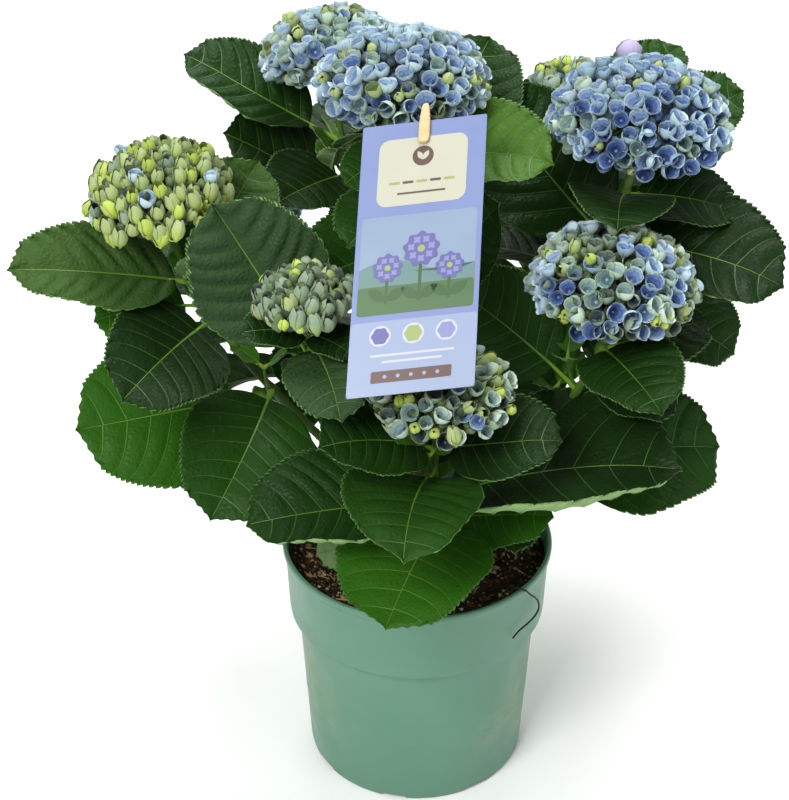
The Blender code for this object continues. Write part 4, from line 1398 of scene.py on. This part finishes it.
def make_foot():
    """The short woody foot: bark in long plates, and a lumpy knuckle."""
    low = SOIL_LEVEL + GAP
    top = KNUCKLE_HEIGHT + KNUCKLE_RADIUS
    turns = turns_of(FOOT_SIDES)
    height = np.linspace(low, top - 0.2, FOOT_ROWS)[:, None]
    ball = np.sqrt(np.maximum(0.3, KNUCKLE_RADIUS**2 - (height - KNUCKLE_HEIGHT) ** 2))
    flare = WAIST_RADIUS + (FLARE_RADIUS - WAIST_RADIUS) * np.exp(-(height - low) / 2.2)
    radius = np.where(height > KNUCKLE_HEIGHT - 10, ball, flare)
    plates = np.sin(turns * 9 + 0.10 * height) + 0.6 * np.sin(turns * 17 - 0.16 * height + 1)
    lumps = np.sin(turns * 3 + 0.2 * height) * np.sin(height * 0.33)
    radius = radius + np.clip((top - height) / 8, 0, 1) * (0.32 * plates + 0.7 * lumps)
    growth = Growth("woody_foot", surfaces("bark", "foot_", {"bark": (104, 82, 58)}))
    start = growth.grid(around(radius, turns, height), "bark", flip=True, closed=True)
    ring = start + np.arange(FOOT_SIDES)
    growth.fan(growth.put((0, 0, low)), ring, "bark", flip=True)
    growth.fan(growth.put((0, 0, top + 0.1)), ring + (FOOT_ROWS - 1) * FOOT_SIDES, "bark")
    settle(growth.build(), "main_stem")


# ---- pot and soil


def inner_radius(height):
    """The radius of the pot's inside at a height."""
    heights = (0.0, STEP_HEIGHT, STEP_HEIGHT + STEP_RISE, POT_HEIGHT)
    radii = (BASE_RADIUS, BODY_TOP_RADIUS, COLLAR_FOOT_RADIUS, COLLAR_TOP_RADIUS)
    return float(np.interp(height, heights, radii)) - WALL


def pot_paint():
    """Muted teal plastic, satin and faintly mottled, with pale painted sheen on its left and right
    sides, a watering mark behind, and a few scuffs.
    """
    made = finished("pot_plastic", (85, 130, 107), *SURFACES["plastic"])
    made.stain(made.span(made.noise(60, 3), 0.45, 0.75, 0.0, 0.35), (100, 143, 121))
    # Painted sheen: the pale patches at the pot's right and left sides; the one behind is a watering mark.
    for heading in POT_SHEEN_AND_MARKS:
        centre = aim(heading, 0) * BASE_RADIUS + UP * 70
        blotches = made.noise(26, 4, 0.6, stretch=(1, 1, 0.5))
        made.stain(made.patch(centre, 62, blotches, 0.35, 0.75, 0.5), (146, 156, 118))
    scuffs = made.noise(7, 5, 0.65, stretch=(0.5, 0.5, 1.4))
    for place, reach, colour in POT_SCUFFS:
        made.stain(made.patch(place, reach, scuffs, 0.3, 0.85, 0.36), colour)
    made.stain(made.span(made.noise(2.2, 2, 0.5), 0.745, 0.775, 0.0, 0.6), (86, 96, 70))
    return made.material


def pot_profile():
    """The pot's section, from the middle of its underside round to the middle of its floor."""
    outside = [
        (radius + out, height + up) for radius, height, *corners in POT_OUTSIDE for out, up in corners
    ]
    lip = inner_radius(POT_HEIGHT)
    below = (POT_HEIGHT - 3, STEP_HEIGHT + STEP_RISE, STEP_HEIGHT, FLOOR)
    inside = [(lip + 1.1, POT_HEIGHT - 0.1), (lip + 0.4, POT_HEIGHT - 0.9)]
    inside += [(inner_radius(height), height) for height in below]
    return [(0.01, 0.9), *outside, *inside, (0.01, FLOOR)]


def notch_cutter(number):
    """A drain notch's cutter at the foot of the wall, narrower at its top."""
    points = [
        (x * MM, y * share * MM, z * MM)
        for z, share in ((-1.0, 1.0), (NOTCH_RISE, 0.7))
        for x in (BASE_RADIUS - 7.0, BASE_RADIUS + 3.0)
        for y in (-NOTCH_WIDTH / 2, NOTCH_WIDTH / 2)
    ]
    faces = [(0, 1, 3, 2), (4, 6, 7, 5), (0, 4, 5, 1), (2, 3, 7, 6), (0, 2, 6, 4), (1, 5, 7, 3)]
    mesh = bpy.data.meshes.new(f"notch_{number}")
    mesh.from_pydata(points, [], faces)
    cutter = new_object(f"notch_{number}", mesh)
    cutter.matrix_world = Matrix.Rotation(2 * math.pi * (number + NOTCH_TURN) / NOTCHES, 4, "Z")
    return cutter


def make_pot():
    growth = Growth("nursery_pot", {"plastic": pot_paint()})
    lathe(growth, pot_profile(), POT_SEGMENTS, "plastic")
    pot = growth.build()
    cutters = [notch_cutter(k) for k in range(NOTCHES)]
    for cutter in cutters:
        cut = pot.modifiers.new(cutter.name, "BOOLEAN")
        cut.operation = "DIFFERENCE"
        cut.solver = "EXACT"
        cut.object = cutter
    bake(pot)
    for cutter in cutters:
        bpy.data.objects.remove(cutter, do_unlink=True)
    pot.data.set_sharp_from_angle(angle=math.radians(40))
    settle(pot, "pot")


def bake(piece):
    """Turns the piece's modifiers into its mesh."""
    bpy.context.view_layer.update()
    graph = bpy.context.evaluated_depsgraph_get()
    mesh = bpy.data.meshes.new_from_object(piece.evaluated_get(graph))
    piece.modifiers.clear()
    piece.data = mesh


def soil_height(radius, turn):
    """The soil's surface: level round the stem, lumpy beyond it, with clods over that."""
    lump = np.sin(turn * 3 + radius * 0.11) + 0.7 * np.sin(turn * 7 - radius * 0.23 + 1)
    x = radius * np.cos(turn)
    y = radius * np.sin(turn)
    clods = np.sin(x * 0.42 + 1.3 * np.sin(y * 0.27)) * np.sin(y * 0.47 + 1.1 * np.sin(x * 0.31))
    crumbs = np.sin(x * 1.17 + 2 * np.sin(y * 0.83)) * np.sin(y * 1.31 + 2 * np.sin(x * 0.91))
    away = np.clip((radius - STEM_PAD) / 12, 0, 1)
    return SOIL_LEVEL + away * (SOIL_LUMP * lump + 1.1 * clods + 0.6 * crumbs)


def soil_bed(growth, edge, rng):
    """The soil's rough surface, and the smooth sides of the fill below it."""
    turns = turns_of(SOIL_SIDES)
    radii = np.linspace(1.0, edge, SOIL_RINGS)[:, None]
    points = around(radii, turns, soil_height(radii, turns))
    shade = rng.uniform(size=(SOIL_RINGS - 1) * SOIL_SIDES)
    clumps = (np.sin(points[:-1, :, 0] * 0.9) * np.sin(points[:-1, :, 1] * 0.8)).ravel()
    paint = np.where(shade + 0.25 * clumps < 0.55, growth.number("peat"), growth.number("dark"))
    paint = np.where(shade + 0.2 * clumps > 0.93, growth.number("brown"), paint)
    growth.grid(points, paint, closed=True)
    step = STEP_HEIGHT + STEP_RISE
    below = [
        (0.5, FLOOR + GAP),
        (inner_radius(FLOOR) - 2 * GAP, FLOOR + GAP),
        (inner_radius(STEP_HEIGHT) - 2 * GAP, STEP_HEIGHT),
        (inner_radius(step) - 2 * GAP, step + GAP),
        (edge, SOIL_LEVEL - 4),
        (edge, SOIL_LEVEL),
    ]
    lathe(growth, below, 72, "peat")


def on_soil(radius, turn, rise):
    return around(radius, turn, soil_height(radius, turn) + rise)


def soil_crumb(growth, edge, rng):
    """One clod on the surface: a faceted lump of uneven corners, lighter on the pot's left (-X) side."""
    radius = edge * math.sqrt(rng.uniform(0.06, 0.95))
    turn = rng.uniform(0, 2 * math.pi)
    size = 0.6 + 1.6 * rng.uniform() ** 2.2
    centre = on_soil(radius, turn, size * 0.3)
    name = CRUMB_MIX[int(rng.integers(len(CRUMB_MIX)))]
    # Peat and dark crumbs on the pot's left (-X) side turn tan, so the soil there is lighter.
    if centre[0] < TAN_SIDE_X and name in ("peat", "dark"):
        name = "tan"
    if name == "perlite":
        size *= 0.75
    points = []
    for lift in (-50, 0, 50):
        for k in range(5):
            way = aim(k * 72 + lift * 0.7, lift)
            points.append(way * size * rng.uniform(0.45, 1.35) * np.array((1.25, 0.85, 0.7)))
    points = np.array(points) @ frame_on(unit(rng.normal(0, 1, 3)), 0.0).T + centre
    start = growth.grid(points.reshape(3, 5, 3), name, flip=True, closed=True)
    low = start + np.arange(5)
    for a, b, c, d, e in (low[::-1], low + 10):
        growth.face([[a, b, c, d], [a, d, e, e]], name)


def soil_straw(growth, edge, rng):
    """One bit of straw that lies on the surface, unless it would pass through the pot."""
    radius = edge * math.sqrt(rng.uniform(0.08, 0.85))
    turn = rng.uniform(0, 2 * math.pi)
    way = aim(rng.uniform(0, 360), rng.uniform(-6, 22))
    place = on_soil(radius, turn, 0.8)
    length = rng.uniform(4, 11)
    bow = way * length / 2 + np.cross(way, UP) * rng.uniform(-1.5, 1.5)
    line = curve_through((place, place + bow, place + way * length), 5)
    if (np.linalg.norm(line[:, :2], axis=1) < edge - 1).all():
        tube(growth, line, rng.uniform(0.25, 0.6), 5, "straw")


def make_soil(rng):
    kind = Kind("soil_surface", surfaces("crumb", "soil_", SOILS))
    growth = kind.open("soil")
    edge = inner_radius(SOIL_LEVEL) - 2 * GAP
    soil_bed(growth, edge, rng)
    for _ in range(CRUMBS):
        soil_crumb(growth, edge, rng)
    for _ in range(STRAWS):
        soil_straw(growth, edge, rng)
    kind.finish()


# ---- card, peg and wire


def card_frame():
    """Unit ways down the card and across it, and the way out of its face."""
    down = unit(CARD_FOOT - CARD_TOP)
    side = unit(CARD_SIDE - down * CARD_SIDE.dot(down))
    return down, side - down * CARD_SKEW, np.cross(down, side)


class Print:
    """The card's board and the flat printed shapes on it, each a thin layer over the one before.

    Places are millimetres (down, across), counted from the middle of the top edge.
    """

    def __init__(self, growth):
        self.growth = growth
        self.down, self.side, self.face = card_frame()

    def plate(self, outline, low, high, paint, edge):
        """A plate of an outline, from low to high off the card's back; returns its outline below."""
        outline = np.asarray(outline, float)
        count = len(outline)
        outline = np.concatenate([outline, [outline.mean(axis=0)]])
        flat = CARD_TOP + outline[:, :1] * self.down + outline[:, 1:] * self.side
        start = self.growth.put(np.concatenate([flat[:-1] + self.face * low, flat + self.face * high]))
        ring = start + np.arange(count)
        walls = [ring, np.roll(ring, -1), np.roll(ring, -1) + count, ring + count]
        self.growth.face(np.stack(walls, axis=-1), edge)
        self.growth.fan(start + 2 * count, ring + count, paint)
        return ring

    def shape(self, outline, name, layer):
        low = CARD_THICKNESS + PRINT_GAP
        self.plate(outline, low, low + PRINT_LAYER * layer, name, name)

    def box(self, low, high, middle, half, name, layer=1, corner=0.0):
        self.shape(rounded(low, high, middle - half, middle + half, corner), name, layer)

    def disc(self, down, across, radius, name, layer=2, petals=0, dent=0.0):
        turn = turns_of(48)
        reach = radius * (1 - dent * (0.5 + 0.5 * np.cos(turn * petals)))
        outline = np.stack([down + reach * np.cos(turn), across + reach * np.sin(turn)], axis=-1)
        self.shape(outline, name, layer)

    def blade(self, down, across, length, turn, name, layer):
        """A pointed leaf from one point out along a turn."""
        share = np.linspace(0, 1, 12)
        half = length * 0.24 * np.sin(np.pi * share) ** 0.9
        along = np.concatenate([share, share[-2:0:-1]]) * length
        out = np.concatenate([half, -half[-2:0:-1]])
        c = math.cos(math.radians(turn))
        s = math.sin(math.radians(turn))
        outline = np.stack([down + along * c - out * s, across + along * s + out * c], axis=-1)
        self.shape(outline, name, layer)


def rounded(low, high, left, right, corner, steps=6):
    """A rectangle's outline with its corners rounded."""
    if corner <= 0:
        return [(low, left), (low, right), (high, right), (high, left)]
    made = []
    middles = (
        (low + corner, right - corner, 180),
        (high - corner, right - corner, 90),
        (high - corner, left + corner, 0),
        (low + corner, left + corner, -90),
    )
    for a, b, begin in middles:
        for k in range(steps + 1):
            turn = math.radians(begin - 90 * k / steps)
            made.append((a + corner * math.cos(turn), b + corner * math.sin(turn)))
    return made


def make_card():
    """The picture card: a thin board with a plain design of a garden bed, panels and colour dots."""
    kind = Kind("picture_card", surfaces("card", "card_", INKS))
    growth = kind.open("tag_card")
    card = Print(growth)
    length = float(np.linalg.norm(CARD_FOOT - CARD_TOP))
    half = CARD_WIDTH / 2
    outline = rounded(0, length, -half, half, CARD_CORNER)
    make_board(card, outline, length)
    draw_badge(card)
    draw_bed(card, half - 3)
    draw_foot(card, length, half - 0.1)
    kind.finish(smooth=False)


def make_board(card, outline, length):
    """The board itself: its face, and its back and edge in a tone of their own."""
    ring = card.plate(outline, 0.0, CARD_THICKNESS, "ground", "edge")
    card.growth.fan(card.growth.put(CARD_TOP + card.down * length / 2), ring, "edge", flip=True)


def draw_badge(card):
    """A cream badge with an emblem of two leaves, a row of dashes and a bar."""
    card.box(10, 52, 0, 26, "cream", 1, 6)
    card.disc(22, 0, 6.2, "brown", 2)
    for turn in (150, 210):
        card.blade(24.5, 0, 6.4, turn, "cream", 3)
    for number, across in enumerate((-16, -8, 0, 8, 16)):
        card.box(37, 38.6, across, 3.2, "brown" if number % 2 else "lime", 2, 0.6)
    card.box(44, 45.2, 0, 14, "brown", 2)


def draw_bed(card, half):
    """A bed of three round blooms before a hill."""
    card.box(58, 118, 0, half, "sky", 1, 3)
    hill = [(115, -half), (92, -half)]
    hill += [(90 - 5 * math.sin(k * 0.5), -half + k * 2 * half / 12) for k in range(13)]
    card.shape([*hill, (115, half)], "far", 2)
    card.box(101, 118, 0, half, "near", 3, 2)
    for down, across, size in ((90, -17, 9), (80, 2, 11), (92, 19, 8.5)):
        card.box(down, 112, across, 0.9, "leaf", 4)
        for turn in (125, 235):
            card.blade(110, across, 13, turn, "leaf", 5)
        card.disc(down, across, size, "bloom", 6, 9, 0.16)
        for k in range(7):
            place = (down + size * 0.55 * math.cos(k * 0.9), across + size * 0.55 * math.sin(k * 0.9))
            card.disc(*place, size * 0.22, "bloom_light", 7, 4, 0.4)
        card.disc(down, across, size * 0.2, "lime", 7)


def draw_foot(card, length, half):
    """A foot band with three dots, two bars and a strip of specks."""
    card.box(122, length, 0, half, "foot", 1, 2.5)
    for across, name in ((-19, "bloom"), (0, "lime"), (19, "bloom_light")):
        card.disc(131, across, 6.2, "white", 2)
        card.disc(131, across, 5.2, name, 3, 6, 0.12)
    card.box(142, 143.4, 0, 24, "white", 2)
    card.box(146, 147.4, 0, 17, "white", 2)
    card.box(152, 159, 0, 23, "brown", 2, 1)
    for across in (-15, -7.5, 0, 7.5, 15):
        card.disc(155.5, across, 1.1, "foot", 3)


def peg_leg(growth, side_sign):
    """One leg of the peg: a bar that thins to its grips, rounded at both ends, with two grooves."""
    down, side, face = card_frame()
    middle = CARD_TOP + down * 2.0 + face * CARD_THICKNESS / 2
    inner = CARD_THICKNESS / 2 + GAP
    shares = np.linspace(-0.5, 0.5, 30)
    ends = np.sqrt(np.clip(1 - (np.abs(shares) * 2) ** 9, 0.02, 1))
    half = PEG_WIDTH / 2 * (1 - 0.34 * smooth_step(0.1, -0.5, shares)) * ends
    thick = (PEG_DEPTH / 2 - inner) * (1 - 0.42 * smooth_step(0.0, -0.5, shares))
    thick = thick * np.clip((0.515 - np.abs(shares)) / 0.04, 0.25, 1)
    grooves = 0.5 * np.exp(-(((shares + 0.02) / 0.03) ** 2))
    grooves = grooves + 0.45 * np.exp(-(((shares - 0.30) / 0.04) ** 2))
    rings = [
        [
            middle + down * along + side * u * wide + face * side_sign * (inner + deep * w)
            for u, w in PEG_SECTION
        ]
        for along, wide, deep in zip(shares * PEG_LENGTH, half, thick - grooves)
    ]
    start = growth.grid(np.array(rings), "wood", flip=side_sign > 0, closed=True)
    for row in (0, len(rings) - 1):
        a, b, c, d, e, f, g, h = start + row * 8 + np.arange(8)
        growth.face([[a, b, c, d], [a, d, e, h], [e, f, g, h]], "wood")


def peg_materials():
    wood = finished("peg_wood", (206, 178, 132), *SURFACES["wood"])
    grain = wood.noise(3, 4, 0.6, stretch=(3, 3, 0.4))
    wood.stain(wood.span(grain, 0.45, 0.7, 0.0, 0.5), (176, 142, 96))
    steel = finished("peg_spring", (176, 172, 166), *SURFACES["steel"])
    steel.feed(steel.shader, {"Metallic": 1.0})
    return {"wood": wood.material, "steel": steel.material}


def make_peg():
    """The small wooden peg over the card's top edge, with its wire spring."""
    growth = Growth("wooden_peg", peg_materials())
    for sign in (1, -1):
        peg_leg(growth, sign)
    down, side, face = card_frame()
    turn = np.linspace(0, 2 * math.pi * 3, 72)[:, None]
    across = np.linspace(-PEG_WIDTH / 2 * 0.9, PEG_WIDTH / 2 * 0.9, 72)[:, None]
    coil = CARD_TOP - down * 2.0 + face * CARD_THICKNESS / 2 + side * across
    coil = coil + (face * np.cos(turn) + down * np.sin(turn) * 0.5) * (PEG_DEPTH / 2 - 0.55)
    tube(growth, coil, 0.4, 8, "steel")
    piece = growth.build()
    piece.data.set_sharp_from_angle(angle=math.radians(50))
    settle(piece, "tag_peg")


def make_wire():
    """The thin stiff thread that hooks over the rim from the soil and hangs outside it."""
    inner = inner_radius(POT_HEIGHT) - 2.6
    course = [
        (inner, -47.5, SOIL_LEVEL + 5.5),
        (inner + 0.5, -46.0, POT_HEIGHT - 4),
        (inner + 1.3, -44.5, POT_HEIGHT + 1.6),
        (RIM_RADIUS + 0.9, -42.0, POT_HEIGHT + 1.3),
        (RIM_RADIUS + 1.8, -38.0, 172.5),
        (RIM_RADIUS + 2.4, -33.0, 163.0),
        (RIM_RADIUS + 2.4, -31.0, 154.0),
        (RIM_RADIUS + 1.4, -32.5, 148.5),
        (RIM_RADIUS + 0.2, -37.5, 146.0),
        (RIM_RADIUS - 0.4, -42.5, 145.0),
        (RIM_RADIUS - 0.8, -46.5, 141.5),
    ]
    corners = np.array([aim(turn, 0) * away + UP * height for away, turn, height in course])
    growth = Growth("rim_thread", surfaces("stalk", "", {"thread": (34, 46, 34)}))
    tube(growth, rounded_course(corners, 8), 0.62, 10, "thread", ribs=0.12, rib_count=3)
    settle(growth.build(), "rim_wire")


def rounded_course(corners, steps):
    """A smooth line through the corners, with some points between each two."""
    ends = np.concatenate([[2 * corners[0] - corners[1]], corners, [2 * corners[-1] - corners[-2]]])
    line = []
    for k in range(1, len(ends) - 2):
        a, b, c, d = ends[k - 1 : k + 3]
        for s in np.arange(steps) / steps:
            square = a - 2.5 * b + 2 * c - 0.5 * d
            cube = 1.5 * (b - c) + 0.5 * (d - a)
            line.append(b + 0.5 * s * (c - a) + s**2 * square + s**3 * cube)
    return np.array([*line, corners[-1]])


# ---- stage, light and camera


def make_floor():
    growth = Growth("floor", surfaces("paper", "floor_", {"paper": (250, 250, 250)}))
    size = 6000.0
    rows = [[(across, along, 0) for along in (-size, size)] for across in (-size, size)]
    growth.grid(np.array(rows), "paper")
    growth.build(smooth=False)


def area_light(name, place, target, size, power):
    light = bpy.data.lights.new(name, "AREA")
    light.shape = "SQUARE"
    light.size = size
    light.energy = power
    made = new_object(name, light)
    made.location = place
    made.rotation_mode = "QUATERNION"
    made.rotation_quaternion = (Vector(target) - Vector(place)).to_track_quat("-Z", "Y")


def make_light():
    scene = bpy.context.scene
    scene.view_settings.view_transform = "Standard"
    world = bpy.data.worlds.new("studio")
    scene.world = world
    world.use_nodes = True
    back = world.node_tree.nodes["Background"]
    back.inputs["Color"].default_value = (1.0, 1.0, 1.0, 1.0)
    back.inputs["Strength"].default_value = 0.35
    area_light("key", (-0.9, -1.5, 1.9), (0, 0, 0.32), 1.0, 50)
    area_light("fill", (1.5, -1.2, 1.2), (0, 0, 0.3), 1.4, 9)
    area_light("back", (0.0, 2.4, 1.9), (0, 1.5, 0.0), 1.8, 26)
    area_light("top", (0.1, 0.5, 2.2), (0, 0, 0.3), 1.2, 36)


def make_camera():
    data = bpy.data.cameras.new("camera")
    data.sensor_fit = "VERTICAL"
    data.sensor_height = SENSOR
    data.sensor_width = SENSOR
    data.lens = CAMERA_LENS
    data.clip_start = 0.01
    data.clip_end = 100
    camera = new_object("camera", data)
    camera.location = [value * MM for value in CAMERA_PLACE]
    camera.rotation_euler = (math.radians(CAMERA_PITCH), 0, 0)
    bpy.context.scene.camera = camera


# ---- the whole plant


def make_plant(rng):
    """The leaves, then shoot by shoot its stem, leaf stalks, axil twigs and flower head."""
    shoots = [Shoot(name) for name in LEAVES]
    leaves, grown = make_leaves(shoots, rng)
    bark = surfaces("bark", "", {"stem_wood": (50, 52, 24)})
    stems = Kind("stems", {**bark, **surfaces("stalk", "", STALKS)})
    blossom = Kind("blossom", sepal_materials())
    shapes = {name: [floret_shape(*sizes, rng) for _ in range(3)] for name, sizes in SHAPES.items()}
    for shoot in shoots:
        stem_growth = stems.open("bough_" + shoot.name, AXIL_ROOM_LEFT)
        stem_growth.nodes.append("leaves_" + shoot.name)
        grow_stem(stem_growth, shoot, rng)
        for share, leaf in grown[shoot.name]:
            grow_petiole(stem_growth, leaf, float(shoot.radius(share)))
        growth = leaves.open("leaves_" + shoot.name, AXIL_ROOM_LEFT)
        grow_axils(stem_growth, growth, shoot, grown[shoot.name], rng)
        if shoot.flowering:
            growth = blossom.open("head_" + shoot.name, HEAD_ROOM_LEFT)
            Head(growth, stem_growth, shoot, shapes, rng).grow()
    grow_basal(stems.growths[0], leaves.growths[-1], rng)
    for kind in (leaves, stems, blossom):
        kind.finish()


make_camera()
make_light()
make_floor()
make_pot()
make_soil(np.random.default_rng(SEED + 1))
make_foot()
make_plant(np.random.default_rng(SEED))
make_card()
make_peg()
make_wire()
